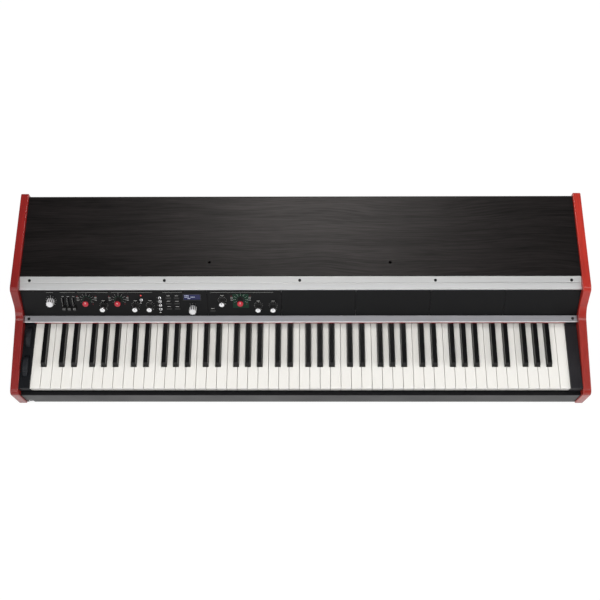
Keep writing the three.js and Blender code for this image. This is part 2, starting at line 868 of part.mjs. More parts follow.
const octaveFirstCount = 23;
const octaveKeyCount = 7;
const octaveLeft = keyboardLeft + octaveFirstCount * whitePitch;
const octaveRight = keyboardLeft + (octaveFirstCount + octaveKeyCount) * whitePitch;
const bracketLines = [keyboardLeft, octaveLeft, octaveRight, keyboardRight];
const trayHalf = keyGap / 2;
const trayTop = floorOnBase + frameWall;
const stopWeb = frameFrontSetback + stopRailWebInset;
const tray = profileAcross(
  [
    [stopWeb, floorOnBase],
    [frameRearSetback, floorOnBase],
    [frameRearSetback, floorOnBase + frameRearHeight],
    [frameRearSetback - frameWall, floorOnBase + frameRearHeight],
    [frameRearSetback - frameWall, trayTop],
    [stopWeb + frameWall, trayTop],
    [stopWeb + frameWall, -stopRailDrop - frameWall],
    [frameFrontSetback + stopRailDepth, -stopRailDrop - frameWall],
    [frameFrontSetback + stopRailDepth, -stopRailDrop],
    [frameFrontSetback, -stopRailDrop],
    [frameFrontSetback, -stopRailDrop - frameWall],
    [stopWeb, -stopRailDrop - frameWall],
  ],
  keyboardLeft + trayHalf,
  keyboardRight - trayHalf,
);
const brackets = bracketLines.map((line) =>
  block(
    line - bracketWall / 2,
    line + bracketWall / 2,
    whitePivotSetback - bracketMargin,
    blackPivotSetback + bracketMargin,
    trayTop - cutOverrun,
    bracketTopMargin - blackPivotDrop,
  ),
);
const whitePivot = [whitePivotSetback, -whitePivotDrop];
const blackPivot = [blackPivotSetback, -blackPivotDrop];
const rodRoot = bracketWall / 2 - seatGap;
const fixedRods = [whitePivot, blackPivot].map((pivot) =>
  rod("x", pivotRodRadius, octaveLeft + rodRoot, octaveRight - rodRoot, pivot),
);

// A blind hole for the journal of a bar that lies on one side of a bracket
function journalRoom(line, side, pivot) {
  const face = line + (side * bracketWall) / 2;
  const bottom = face - side * (journalLength + seatGap);
  const mouth = face + side * cutOverrun;
  return rod("x", pivotBore, Math.min(bottom, mouth), Math.max(bottom, mouth), pivot);
}

const journalRooms = [whitePivot, blackPivot].flatMap((pivot) => [
  journalRoom(keyboardLeft, 1, pivot),
  journalRoom(octaveLeft, -1, pivot),
  journalRoom(octaveRight, 1, pivot),
  journalRoom(keyboardRight, -1, pivot),
]);
const keyFrame = cutAway(joined([tray, ...brackets]), journalRooms).add(joined(fixedRods));
atKeys.add(piece("key_frame", keyFrame, zincSteel));

// Keys. The octave pattern starts at A: a name per white key, and the way its sharp leans.
const letters = ["A", "B", "C", "D", "E", "F", "G"];
const sharpLean = { A: sharpOffsetWide, C: -sharpOffset, D: sharpOffset, F: -sharpOffsetWide, G: 0 };

function hasSharp(index) {
  return index < whiteCount - 1 && letters[index % letters.length] in sharpLean;
}

function sharpMiddle(index) {
  const lean = sharpLean[letters[index % letters.length]];
  return keyboardLeft + (index + 1) * whitePitch + lean;
}

function rectangle(left, right, bottom, top) {
  return [
    [left, bottom],
    [right, bottom],
    [right, top],
    [left, top],
  ];
}

// A white key: its lip, its broad front, its waist beside the sharps, and at a bracket a slim tail
function whiteKey(index, tailEnd, slimTail) {
  const left = keyboardLeft + index * whitePitch + keyGap / 2;
  const right = keyboardLeft + (index + 1) * whitePitch - keyGap / 2;
  const notch = blackWidth / 2 + notchClearance;
  const waistLeft = index > 0 && hasSharp(index - 1) ? sharpMiddle(index - 1) + notch : left;
  const waistRight = hasSharp(index) ? sharpMiddle(index) - notch : right;
  const notchSetback = blackSetback - notchLead;
  const tailLeft = waistLeft + whiteTailTrim;
  const tailRight = waistRight - whiteTailTrim;
  const waist = rectangle(waistLeft, waistRight, -whiteFrontDepth, 0);
  const tail = rectangle(tailLeft, tailRight, -whiteTailBottom, -whiteTailTop);
  const front = [
    [0, rectangle(left, right, -whiteLip, -whiteNose)],
    [whiteLipProud, rectangle(left, right, -whiteLip, 0)],
    [whiteLipProud, rectangle(left, right, -whiteFrontDepth, 0)],
    [notchSetback, rectangle(left, right, -whiteFrontDepth, 0)],
    [notchSetback, waist],
  ];
  if (!slimTail) return loftBack([...front, [tailEnd, waist]]);
  return loftBack([
    ...front,
    [whiteTailSetback, waist],
    [whiteTailSetback, tail],
    [tailEnd, tail],
  ]);
}

// Six corners of a black key: its foot, its shoulders level with the white tops, and its narrower top
function blackSection(middle, width, topWidth, bottom, shoulder, top) {
  return [
    [middle - width / 2, bottom],
    [middle + width / 2, bottom],
    [middle + width / 2, shoulder],
    [middle + topWidth / 2, top],
    [middle - topWidth / 2, top],
    [middle - width / 2, shoulder],
  ];
}

function blackKey(index, tailEnd) {
  const middle = sharpMiddle(index);
  const tailWidth = blackWidth - blackTailTrim * 2;
  const toeWidth = blackWidth - blackToeTaper;
  const foot = -blackStickDepth;
  const capSection = blackSection(middle, blackWidth, blackTopWidth, foot, 0, blackHeight);
  const tailSection = blackSection(
    middle,
    tailWidth,
    tailWidth,
    -blackTailBottom,
    0,
    blackTailTop,
  );
  return loftBack([
    [blackSetback, blackSection(middle, blackWidth, toeWidth, foot, -blackTailTop, 0)],
    [blackSetback + blackToe, capSection],
    [blackCapEnd, capSection],
    [blackCapEnd, tailSection],
    [tailEnd, tailSection],
  ]);
}

const singleEnds = { white: whitePivotSetback + pivotEye, black: blackPivotSetback + pivotEye };
const bankEnds = {
  white: whitePivotSetback - pivotBar / 2 + pivotBarBite,
  black: blackPivotSetback - pivotBar / 2 + pivotBarBite,
};

// The single keys of the middle octave, each with a bore round its own rod
function singleKey(name, solid, pivot, look) {
  const bore = rod("x", pivotBore, octaveLeft, octaveRight, pivot);
  atKeys.add(piece(name, solid.subtract(bore), look));
}

for (let index = octaveFirstCount; index < octaveFirstCount + octaveKeyCount; index += 1) {
  const letter = letters[index % letters.length];
  const naturalName = "key_" + letter.toLowerCase() + "4";
  singleKey(naturalName, whiteKey(index, singleEnds.white, true), whitePivot, whiteKeyLook);
  if (!hasSharp(index)) continue;
  const sharpName = "key_" + letter.toLowerCase() + "_sharp4";
  singleKey(sharpName, blackKey(index, singleEnds.black), blackPivot, blackKeyLook);
}

// The other keys, in banks: each bank is carried on a square bar that turns in the brackets
function pivotBarSolid(leftLine, rightLine, pivot) {
  const left = leftLine + bracketWall / 2;
  const right = rightLine - bracketWall / 2;
  const half = pivotBar / 2;
  const bar = block(
    left + seatGap,
    right - seatGap,
    pivot[0] - half,
    pivot[0] + half,
    pivot[1] - half,
    pivot[1] + half,
  );
  const journalLeft = left - journalLength;
  const journalRight = right + journalLength;
  return bar.add(rod("x", pivotRodRadius, journalLeft, journalRight, pivot));
}

const banks = {
  bass: { keys: [0, octaveFirstCount], lines: [keyboardLeft, octaveLeft] },
  treble: { keys: [octaveFirstCount + octaveKeyCount, whiteCount], lines: [octaveRight, keyboardRight] },
};
Object.entries(banks).forEach(([name, { keys, lines }]) => {
  const whites = [pivotBarSolid(...lines, whitePivot)];
  const blacks = [pivotBarSolid(...lines, blackPivot)];
  for (let index = keys[0]; index < keys[1]; index += 1) {
    const atBracket = index === keys[0] || index === keys[1] - 1;
    whites.push(whiteKey(index, bankEnds.white, atBracket));
    if (hasSharp(index)) blacks.push(blackKey(index, bankEnds.black));
  }
  atKeys.add(piece(name + "_white_keys", joined(whites), whiteKeyLook));
  atKeys.add(piece(name + "_black_keys", joined(blacks), blackKeyLook));
});

// Control slope. In this group, X runs across, Y up the slope, and Z out of the panel.

const slope = new THREE.Group();
slope.position.set(0, panelFootSetback, panelFootRise);
slope.rotation.x = slopeAngle;
atKeys.add(slope);

const mainLeft = -fitHalf;
const mainRight = -innerHalf + mainModuleWidth - panelSeam / 2;
const bayWidth = (innerHalf * 2 - mainModuleWidth) / bayCount;
const bayLeft = (bay) => mainRight + panelSeam + bay * bayWidth;
const bayRight = (bay) => Math.min(bayLeft(bay + 1) - panelSeam, fitHalf);
const holeRadius = shaftRadius + seatGap;

function shaftHole(spot) {
  return rod("z", holeRadius, -panelSheet - cutOverrun, cutOverrun, spot);
}

function rectangularHole(x, y, width, height) {
  return block(
    x - width / 2,
    x + width / 2,
    y - height / 2,
    y + height / 2,
    -panelSheet - cutOverrun,
    cutOverrun,
  );
}

function riseOf(riseShare) {
  return slopeLength * riseShare;
}

// Spots on the main module, and on the second module in the first bay
function onMain(acrossShare, riseShare) {
  return [-innerHalf + mainModuleWidth * acrossShare, riseOf(riseShare)];
}

function onModule(acrossShare, riseShare) {
  return [bayLeft(0) + bayWidth * acrossShare, riseOf(riseShare)];
}

const volumeSpot = onMain(volumeAcrossShare, volumeRiseShare);
const encoderSpot = onMain(encoderAcrossShare, encoderRiseShare);
const displaySpot = onMain(displayAcrossShare, displayRiseShare);
const miniToggleSpot = onMain(miniToggleAcrossShare, miniToggleRiseShare);
const mainKnobSpots = mainKnobAcrossShares.map((share) => onMain(share, mainKnobRiseShare));
const mainSelectorSpots = mainSelectorAcrossShares.map((share) => onMain(share, selectorRiseShare));
const [faderMiddle, faderRise] = onMain(faderAcrossShare, faderRiseShare);
const faderSpots = [-1, 0, 1].map((i) => [faderMiddle + i * faderPitch, faderRise]);
const [togglePlace, toggleMiddle] = onMain(toggleAcrossShare, toggleColumnShare);
const toggleSpots = [3, 1, -1, -3].map((step) => [
  togglePlace,
  toggleMiddle + (step * togglePitch) / 2,
]);
const buttonSpots = buttonAcrossShares.flatMap((share) => {
  const [x, middle] = onMain(share, buttonColumnShare);
  return [1, 0, -1].map((row) => [x, middle + row * buttonPitch]);
});
const moduleKnobSpots = moduleKnobAcrossShares.map((share, i) =>
  onModule(share, moduleKnobRiseShares[i]),
);
const moduleSelectorSpots = moduleSelectorAcrossShares.map((share) =>
  onModule(share, selectorRiseShare),
);
const moduleButtonSpot = onModule(moduleButtonAcrossShare, moduleButtonRiseShare);
const allToggleSpots = [...toggleSpots, miniToggleSpot];
const selectorSpots = [...mainSelectorSpots, ...moduleSelectorSpots];
const knobSpots = [...mainKnobSpots, ...moduleKnobSpots];

// Main panel, with the nut and threaded bush of each toggle on it
const mainSheet = block(mainLeft, mainRight, 0, slopeLength, -panelSheet, 0);
const bushes = allToggleSpots.flatMap((spot) => [
  rod("z", toggleNutRadius, -cutOverrun, toggleNutHeight, spot, nutFacets),
  rod("z", toggleBushRadius, -cutOverrun, toggleBushHeight, spot),
]);
const bushBores = allToggleSpots.map((spot) =>
  rod("z", toggleBore, -panelSheet - cutOverrun, toggleBushHeight + cutOverrun, spot, boreFacets),
);
const mainCuts = [
  ...[volumeSpot, encoderSpot, ...mainSelectorSpots, ...mainKnobSpots].map(shaftHole),
  ...faderSpots.map((spot) => rectangularHole(...spot, faderSlotWidth, faderSlotLength)),
  ...buttonSpots.map((spot) =>
    rectangularHole(...spot, buttonWidth + seatGap * 2, buttonHeight + seatGap * 2),
  ),
  rectangularHole(...displaySpot, displayWidth + seatGap * 2, displayHeight + seatGap * 2),
  ...bushBores,
];
slope.add(piece("main_control_panel", cutAway(joined([mainSheet, ...bushes]), mainCuts), blackSheet));

// Side flanges of a bay's sheet, which reach back to the bay rails
function bayFlanges(left, right, reach) {
  const bottom = bayRailInset;
  const top = slopeLength - bayRailInset;
  return [left, right - bayFlangeWall].map((x) =>
    block(x, x + bayFlangeWall, bottom, top, -reach, -panelSheet + cutOverrun),
  );
}

const railFrontOut = -panelSheet - bayRailDepth;

// Second control module: a sheet whose flanges stop just short of the bay rails
const moduleSheet = block(bayLeft(0), bayRight(0), 0, slopeLength, -panelSheet, 0);
const moduleFlanges = bayFlanges(bayLeft(0), bayRight(0), -railFrontOut - seatGap);
const moduleCuts = [
  ...[...moduleSelectorSpots, ...moduleKnobSpots].map(shaftHole),
  rectangularHole(...moduleButtonSpot, buttonWidth + seatGap * 2, buttonHeight + seatGap * 2),
];
const moduleSolid = cutAway(joined([moduleSheet, ...moduleFlanges]), moduleCuts);
slope.add(piece("second_control_panel", moduleSolid, blackSheet));

// A blank module in every other bay, on the two bay rails that carry them
const blankBays = Array.from({ length: bayCount - 1 }, (_, i) => i + 1);
const blanks = blankBays.flatMap((bay) => [
  block(bayLeft(bay), bayRight(bay), 0, slopeLength, -panelSheet, 0),
  ...bayFlanges(bayLeft(bay), bayRight(bay), -railFrontOut + cutOverrun),
]);
const bayRails = [bayRailInset, slopeLength - bayRailInset - bayRailHeight].map((bottom) =>
  block(
    bayLeft(0),
    fitHalf,
    bottom,
    bottom + bayRailHeight,
    railFrontOut - bayRailWall,
    railFrontOut,
  ),
);
slope.add(piece("blank_panels", joined([...bayRails, ...blanks]), blackSheet));

// Display window, let into the main panel
const displaySolid = block(
  -displayWidth / 2,
  displayWidth / 2,
  -displayHeight / 2,
  displayHeight / 2,
  -displayThickness,
  0,
);
const display = piece("display_window", displaySolid, blueGlass);
display.position.set(...displaySpot, -displayRecess);
slope.add(display);

// Knobs, each on a shaft through the panel

function knobShaft() {
  return rod("z", shaftRadius, -shaftLength, knobLift + cutOverrun, [0, 0]);
}

function smallKnob() {
  return turned(
    [
      [0, knobLift],
      [smallSkirtRadius, knobLift],
      [smallSkirtRadius, smallSkirtHeight],
      [smallBodyRadius, smallSkirtHeight + smallKnobEdge],
      [smallTopRadius, smallKnobHeight - smallKnobEdge],
      [smallTopRadius - smallKnobEdge, smallKnobHeight],
      [0, smallKnobHeight],
    ],
    knobFacets,
  );
}

function selectorKnob() {
  const body = turned(
    [
      [0, knobLift],
      [selectorSkirtRadius, knobLift],
      [selectorSkirtRadius, selectorSkirtHeight],
      [selectorBodyRadius, selectorSkirtHeight + selectorEdge],
      [selectorTopRadius, selectorHeight - selectorEdge],
      [selectorTopRadius - selectorEdge, selectorHeight],
      [0, selectorHeight],
    ],
    knobFacets,
  );
  const pointer = block(
    -pointerWidth / 2,
    pointerWidth / 2,
    0,
    pointerLength,
    knobLift,
    selectorSkirtHeight,
  );
  return body.add(pointer);
}

// A fluted outline: each flute is a crest of two corners and a valley of one
function flutedKnob() {
  const points = [];
  for (let flute = 0; flute < fluteCount; flute += 1) {
    const spots = [
      [0, flutedRadius],
      [crestShare, flutedRadius],
      [valleyShare, flutedRadius - fluteDepth],
    ];
    spots.forEach(([share, radius]) => {
      const angle = ((flute + share) / fluteCount) * Math.PI * 2;
      points.push(new THREE.Vector2(radius * Math.cos(angle), radius * Math.sin(angle)));
    });
  }
  const geometry = new THREE.ExtrudeGeometry(new THREE.Shape(points), {
    depth: flutedHeight - knobLift - flutedBevel * 2,
    bevelEnabled: true,
    bevelThickness: flutedBevel,
    bevelSize: flutedBevel,
    bevelOffset: -flutedBevel,
    bevelSegments: 1,
  });
  geometry.translate(0, 0, knobLift + flutedBevel);
  return solidFrom(geometry);
}

function addKnob(name, solid, spot, look) {
  const knob = piece(name, solid.add(knobShaft()), look);
  knob.position.set(...spot, 0);
  slope.add(knob);
}

addKnob("volume_knob", flutedKnob(), volumeSpot, silver);
addKnob("encoder_knob", flutedKnob(), encoderSpot, silver);
selectorSpots.forEach((spot, i) => addKnob("selector_" + (i + 1), selectorKnob(), spot, redPlastic));
knobSpots.forEach((spot, i) => addKnob("knob_" + (i + 1), smallKnob(), spot, silver));

// Faders: a waisted cap on a flat stem that runs in its slot, resting at the lower end

function faderSolid() {
  const half = faderCapLength / 2;
  const middle = knobLift + faderCapHeight;
  const geometry = new THREE.ExtrudeGeometry(
    new THREE.Shape(
      outline([
        [-half, knobLift],
        [half, knobLift],
        [half, middle],
        [0, middle - faderWaist],
        [-half, middle],
      ]),
    ),
    { depth: faderCapWidth, bevelEnabled: false },
  );
  geometry.applyMatrix4(acrossCase);
  geometry.translate(-faderCapWidth / 2, 0, 0);
  const stem = block(
    -faderStemWidth / 2,
    faderStemWidth / 2,
    -faderStemLength / 2,
    faderStemLength / 2,
    -shaftLength,
    knobLift + cutOverrun,
  );
  return solidFrom(geometry).add(stem);
}

const faderDrop = faderSlotLength / 2 - faderStemLength / 2 - faderStopGap;
faderSpots.forEach(([x, y], i) => {
  const fader = piece("fader_" + (i + 1), faderSolid(), blackPlastic);
  fader.position.set(x, y - faderDrop, 0);
  slope.add(fader);
});

// Toggles: a bat lever on a ball inside the bush, resting in its lower position

function toggleSolid() {
  const ballSide = toggleBallRadius * Math.SQRT1_2;
  return turned(
    [
      [0, -toggleTail],
      [toggleNeckRadius, -toggleTail],
      [ballSide, -ballSide],
      [toggleBallRadius, 0],
      [toggleNeckRadius, ballSide],
      [toggleTipRadius, toggleReach - toggleTipRadius],
      [toggleNeckRadius, toggleReach],
      [0, toggleReach],
    ],
    toggleFacets,
  );
}

function addToggle(name, [x, y]) {
  const toggle = piece(name, toggleSolid(), silver);
  toggle.position.set(x, y, togglePivotHeight);
  toggle.rotation.x = toggleTilt;
  slope.add(toggle);
}

toggleSpots.forEach((spot, i) => addToggle("toggle_" + (i + 1), spot));
addToggle("mini_toggle", miniToggleSpot);

// Push buttons: a bevelled cap whose stem runs in the window of the panel

function buttonSolid() {
  const geometry = new THREE.ExtrudeGeometry(
    new THREE.Shape(
      outline([
        [-buttonWidth / 2, -buttonHeight / 2],
        [buttonWidth / 2, -buttonHeight / 2],
        [buttonWidth / 2, buttonHeight / 2],
        [-buttonWidth / 2, buttonHeight / 2],
      ]),
    ),
    {
      depth: buttonStem + buttonProud - buttonEdge * 2,
      bevelEnabled: true,
      bevelThickness: buttonEdge,
      bevelSize: buttonEdge,
      bevelOffset: -buttonEdge,
      bevelSegments: 1,
    },
  );
  geometry.translate(0, 0, buttonEdge - buttonStem);
  return solidFrom(geometry);
}

function addButton(name, [x, y]) {
  const button = piece(name, buttonSolid(), blackPlastic);
  button.position.set(x, y, 0);
  slope.add(button);
}

buttonSpots.forEach((spot, i) => addButton("button_" + (i + 1), spot));
addButton("module_button", moduleButtonSpot);

export default stagePiano;
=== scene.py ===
import json
import math

import bmesh
import bpy
from mathutils import Matrix, Vector


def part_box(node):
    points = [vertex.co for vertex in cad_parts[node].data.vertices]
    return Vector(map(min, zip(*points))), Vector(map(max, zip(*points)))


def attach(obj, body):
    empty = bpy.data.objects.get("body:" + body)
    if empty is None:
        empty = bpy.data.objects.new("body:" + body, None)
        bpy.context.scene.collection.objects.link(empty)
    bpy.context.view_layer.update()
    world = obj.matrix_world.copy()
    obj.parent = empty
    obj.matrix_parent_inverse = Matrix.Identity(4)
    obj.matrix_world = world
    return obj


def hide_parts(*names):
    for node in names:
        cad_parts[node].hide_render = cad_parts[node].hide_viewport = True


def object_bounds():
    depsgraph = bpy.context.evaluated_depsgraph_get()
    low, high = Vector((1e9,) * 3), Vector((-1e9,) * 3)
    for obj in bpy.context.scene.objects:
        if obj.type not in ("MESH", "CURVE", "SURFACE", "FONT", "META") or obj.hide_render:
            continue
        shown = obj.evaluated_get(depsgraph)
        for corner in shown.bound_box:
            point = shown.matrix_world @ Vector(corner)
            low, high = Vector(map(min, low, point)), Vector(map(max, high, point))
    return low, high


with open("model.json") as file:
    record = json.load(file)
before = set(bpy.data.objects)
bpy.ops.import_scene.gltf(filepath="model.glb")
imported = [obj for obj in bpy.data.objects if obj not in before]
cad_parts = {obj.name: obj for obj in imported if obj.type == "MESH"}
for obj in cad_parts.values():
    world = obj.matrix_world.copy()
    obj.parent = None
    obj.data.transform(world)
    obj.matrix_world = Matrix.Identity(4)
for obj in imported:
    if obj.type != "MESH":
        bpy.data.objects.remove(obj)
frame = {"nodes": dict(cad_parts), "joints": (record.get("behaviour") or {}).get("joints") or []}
cad_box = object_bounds()

# Camera
# The photograph looks down on the keyboard from the player's side, from two and a half metres away
# through a long lens. The frame is square.
frame_width_px = 600
focal_length_px = 995.2
lens_drop_px = 60
camera_place = (0.0250, -0.7813, 2.2899)
camera_turn = math.radians(1.578)
camera_tilt = math.radians(22.945)
camera_roll = math.radians(-1.543)
film_width = 36

lens = bpy.data.cameras.new("camera")
lens.sensor_width = film_width
lens.lens = focal_length_px / frame_width_px * film_width
lens.shift_y = -lens_drop_px / frame_width_px
camera = bpy.data.objects.new("camera", lens)
bpy.context.collection.objects.link(camera)
camera.matrix_world = (
    Matrix.Translation(camera_place)
    @ Matrix.Rotation(camera_turn, 4, "Z")
    @ Matrix.Rotation(camera_tilt, 4, "X")
    @ Matrix.Rotation(camera_roll, 4, "Z")
)
bpy.context.scene.camera = camera
bpy.context.scene.view_settings.view_transform = "Standard"

# Floor and light
# The piano lies on a white sheet of paper under large soft lamps, in a studio with pale walls and
# a dark ceiling. The paper looks white to the camera and in reflections, keeps a faint shadow, and
# lies dark under the case.
paper_size = 40
paper_drop = 0.0002
paper_white = (0.9, 0.9, 0.9, 1)
paper_glow = 1.04
paper_glow_share = 0.9
shade_edge = 0.0028
shade_fade = 0.001
room_glow = 0.32
wall_level = 1.0
ceiling_level = 0.05
wall_top = 0.1
ceiling_start = 0.6
warm_white = (1, 0.95, 0.92)


def wire(tree, source, target):
    """Joins an output to an input, or gives the input a plain value"""
    if isinstance(source, bpy.types.NodeSocket):
        tree.links.new(target, source)
    else:
        target.default_value = source


def add_node(tree, kind, *sources, **settings):
    """A shader node with its settings, and with sources for its first inputs"""
    node = tree.nodes.new("ShaderNode" + kind)
    for label, value in settings.items():
        setattr(node, label, value)
    for source, target in zip(sources, node.inputs):
        wire(tree, source, target)
    return node


def sums(tree, operation, first, second):
    """A Math node on two values, each a number or a socket"""
    return add_node(tree, "Math", first, second, operation=operation).outputs[0]


def vector_sums(tree, operation, *vectors):
    """A Vector Math node on vectors or vector sockets"""
    return add_node(tree, "VectorMath", *vectors, operation=operation).outputs["Vector"]


def remap(tree, value, low, high, new_low, new_high):
    """Spreads the values from low to high over new_low to new_high, which may be sockets"""
    return add_node(tree, "MapRange", value, low, high, new_low, new_high).outputs["Result"]


def axes(tree, vector):
    """The X, Y and Z of a vector socket"""
    return add_node(tree, "SeparateXYZ", vector).outputs


def own_place(tree):
    """The Object coordinates, which stay with a piece as it moves"""
    return add_node(tree, "TexCoord").outputs["Object"]


def seen_directly(tree):
    """1 for a ray from the camera, from a reflection or through glass, and 0 for other rays"""
    rays = add_node(tree, "LightPath").outputs
    clear = sums(tree, "MAXIMUM", rays["Is Glossy Ray"], rays["Is Transmission Ray"])
    return sums(tree, "MAXIMUM", rays["Is Camera Ray"], clear)


def new_finish(name, colour, roughness, metallic=0.0, coat=0.0, coat_roughness=0.03, shine=0.5):
    """A material with plain values on its shader"""
    finish = bpy.data.materials.new(name)
    finish.use_nodes = True
    shader = finish.node_tree.nodes["Principled BSDF"]
    shader.inputs["Base Color"].default_value = colour
    shader.inputs["Roughness"].default_value = roughness
    shader.inputs["Metallic"].default_value = metallic
    shader.inputs["Coat Weight"].default_value = coat
    shader.inputs["Coat Roughness"].default_value = coat_roughness
    shader.inputs["Specular IOR Level"].default_value = shine
    return finish, finish.node_tree, shader


bpy.ops.mesh.primitive_plane_add(size=paper_size, location=(0, 0, -paper_drop))
paper = bpy.context.object
paper.name = "floor"
white_paper, tree, shader = new_finish("white_paper", paper_white, 0.9)
shade_low = Vector((cad_box[0][0] + shade_edge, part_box("front_rail")[0].y + shade_edge, 0))
shade_high = Vector((cad_box[1][0] - shade_edge, cad_box[1][1] - shade_edge, 0))
from_middle = vector_sums(tree, "SUBTRACT", own_place(tree), (shade_low + shade_high) / 2)
half_shade = (shade_high - shade_low) / 2
past_edge = vector_sums(tree, "SUBTRACT", vector_sums(tree, "ABSOLUTE", from_middle), half_shade)
past = axes(tree, past_edge)
open_paper = remap(tree, sums(tree, "MAXIMUM", past["X"], past["Y"]), -shade_fade, 0, 0, 1)
glow = add_node(tree, "Emission")
glow.inputs["Strength"].default_value = paper_glow
glow_share = sums(tree, "MULTIPLY", seen_directly(tree), paper_glow_share)
glow_share = sums(tree, "MULTIPLY", glow_share, open_paper)
blend = add_node(tree, "MixShader", glow_share, shader.outputs["BSDF"], glow.outputs["Emission"])
wire(tree, blend.outputs["Shader"], tree.nodes["Material Output"].inputs["Surface"])
paper.data.materials.append(white_paper)

world = bpy.data.worlds.new("studio")
world.use_nodes = True
bpy.context.scene.world = world
tree = world.node_tree
room = tree.nodes["Background"]
room.inputs["Color"].default_value = (1, 1, 1, 1)
view_rise = axes(tree, add_node(tree, "TexCoord").outputs["Generated"])["Z"]
level = add_node(tree, "Mix")
wire(tree, seen_directly(tree), level.inputs["Factor"])
wire(tree, room_glow, level.inputs["A"])
room_level = remap(tree, view_rise, wall_top, ceiling_start, wall_level, ceiling_level)
wire(tree, room_level, level.inputs["B"])
wire(tree, level.outputs["Result"], room.inputs["Strength"])


def lamp(name, place, aim, size, power, colour=(1, 1, 1)):
    """A rectangular soft lamp, turned to the point that it lights"""
    bpy.ops.object.light_add(type="AREA", location=place)
    light = bpy.context.object
    light.name = name
    light.data.shape = "RECTANGLE"
    light.data.size, light.data.size_y = size
    light.data.energy = power
    light.data.color = colour
    light.rotation_euler = (Vector(aim) - Vector(place)).to_track_quat("-Z", "Y").to_euler()


lamp("lamp_overhead", place=(0.1, -0.75, 2.5), aim=(0.1, -0.1, 0.1), size=(3.4, 0.6), power=24)
lamp(
    "lamp_over_rear",
    place=(0.05, 1.38, 2.4),
    aim=(0, 0.1, 0.1),
    size=(0.9, 0.6),
    power=18,
    colour=warm_white,
)
lamp("lamp_left", place=(-2.6, -0.8, 1.2), aim=(0, 0, 0.1), size=(1.0, 1.0), power=12)
lamp("lamp_right", place=(2.6, -0.4, 1.4), aim=(0, 0, 0.1), size=(1.0, 1.4), power=24)
lamp("lamp_front", place=(-0.7, -2.2, 1.8), aim=(0, 0, 0.1), size=(2.0, 0.8), power=14)

# Side panels
# Two boards of red-stained hardwood under clear lacquer. Each is sawn to one outline, rounded
# at its nose, valley and knee, eased along every edge, and screwed to the case from inside.
keys_front = -0.2149
keys_top = 0.092
side_front = -13.6
side_rear = 443.4
side_top = 95
side_bottom = -84
nose_rise = 1.7
valley_place = (171.4, 29.2)
knee_back = 202.8
nose_reach = 0.0112
valley_reach = 0.0215
knee_reach = 0.0078
heel_reach = 0.004
side_edge_round = 0.002
# The left board's red is a darker, shaded copy and the right board's a lighter, lit copy: painted
# shade and painted light.
red_shaded_left = ((0.275, 0.009, 0.007, 1), (0.205, 0.006, 0.005, 1))
red_lit_right = ((0.51, 0.030, 0.017, 1), (0.39, 0.020, 0.012, 1))
red_lacquer = {
    "gloss": 0.42,
    "along_y": 1.0,
    "coat": (0.55, 0.55),
    "coat_roughness": 0.14,
    "shine": 0.24,
    "pore_depth": 0.00003,
}
# How dark each side panel's colour is painted towards the front of its arm, as painted shade
left_painted_front_shade = 0.94
right_painted_front_shade = 0.68
grain_wave = 0.07
# The span, front to back, over which that painted shade fades out
front_shade_span = (-0.06, -0.015)


def at_keys(across, back, up):
    """The place of a point that is measured in millimetres from the key fronts and key tops"""
    return Vector((across / 1000, back / 1000 + keys_front, up / 1000 + keys_top))


def new_effect(name, colours, numbers, *more_made):
    """A shader node group: the group, what it is given, what it makes, and Object coordinates"""
    group = bpy.data.node_groups.new(name, "ShaderNodeTree")
    for in_out, kind, labels in (
        ("INPUT", "Color", colours),
        ("INPUT", "Float", numbers),
        ("OUTPUT", "Color", ("Colour",)),
        ("OUTPUT", "Float", ("Roughness", "Height", *more_made)),
    ):
        for label in labels:
            group.interface.new_socket(label, in_out=in_out, socket_type="NodeSocket" + kind)
    given = group.nodes.new("NodeGroupInput").outputs
    made = group.nodes.new("NodeGroupOutput").inputs
    return group, given, made, own_place(group)


def noise(tree, place, stretch, scale, detail=4):
    """Noise whose pattern is stretched along X, Y and Z"""
    mapping = add_node(tree, "Mapping", place)
    mapping.inputs["Scale"].default_value = stretch
    texture = add_node(tree, "TexNoise", mapping.outputs["Vector"])
    wire(tree, scale, texture.inputs["Scale"])
    wire(tree, detail, texture.inputs["Detail"])
    return texture.outputs["Fac"]


def mixed_colour(tree, share, first, second):
    """A colour between two colours or colour sockets"""
    mix = add_node(tree, "Mix", share, data_type="RGBA")
    wire(tree, first, mix.inputs[6])
    wire(tree, second, mix.inputs[7])
    return mix.outputs[2]


def toned_colour(tree, colour, tone):
    """A colour made lighter or darker by a factor"""
    toned = add_node(tree, "HueSaturation")
    wire(tree, colour, toned.inputs["Color"])
    wire(tree, tone, toned.inputs["Value"])
    return toned.outputs["Color"]


def add_effect(tree, shader, group, depth, **values):
    """Places a node group in a material with its own values, for colour, roughness and bump"""
    effect = add_node(tree, "Group", node_tree=group)
    for label, value in values.items():
        effect.inputs[label.replace("_", " ")].default_value = value
    wire(tree, effect.outputs["Colour"], shader.inputs["Base Color"])
    wire(tree, effect.outputs["Roughness"], shader.inputs["Roughness"])
    add_bump(tree, shader, effect.outputs["Height"], depth)
    return effect


def add_bump(tree, shader, height, distance):
    """A Bump node from a height to the shader's normal"""
    bump = add_node(tree, "Bump")
    bump.inputs["Distance"].default_value = distance
    wire(tree, height, bump.inputs["Height"])
    wire(tree, bump.outputs["Normal"], shader.inputs["Normal"])


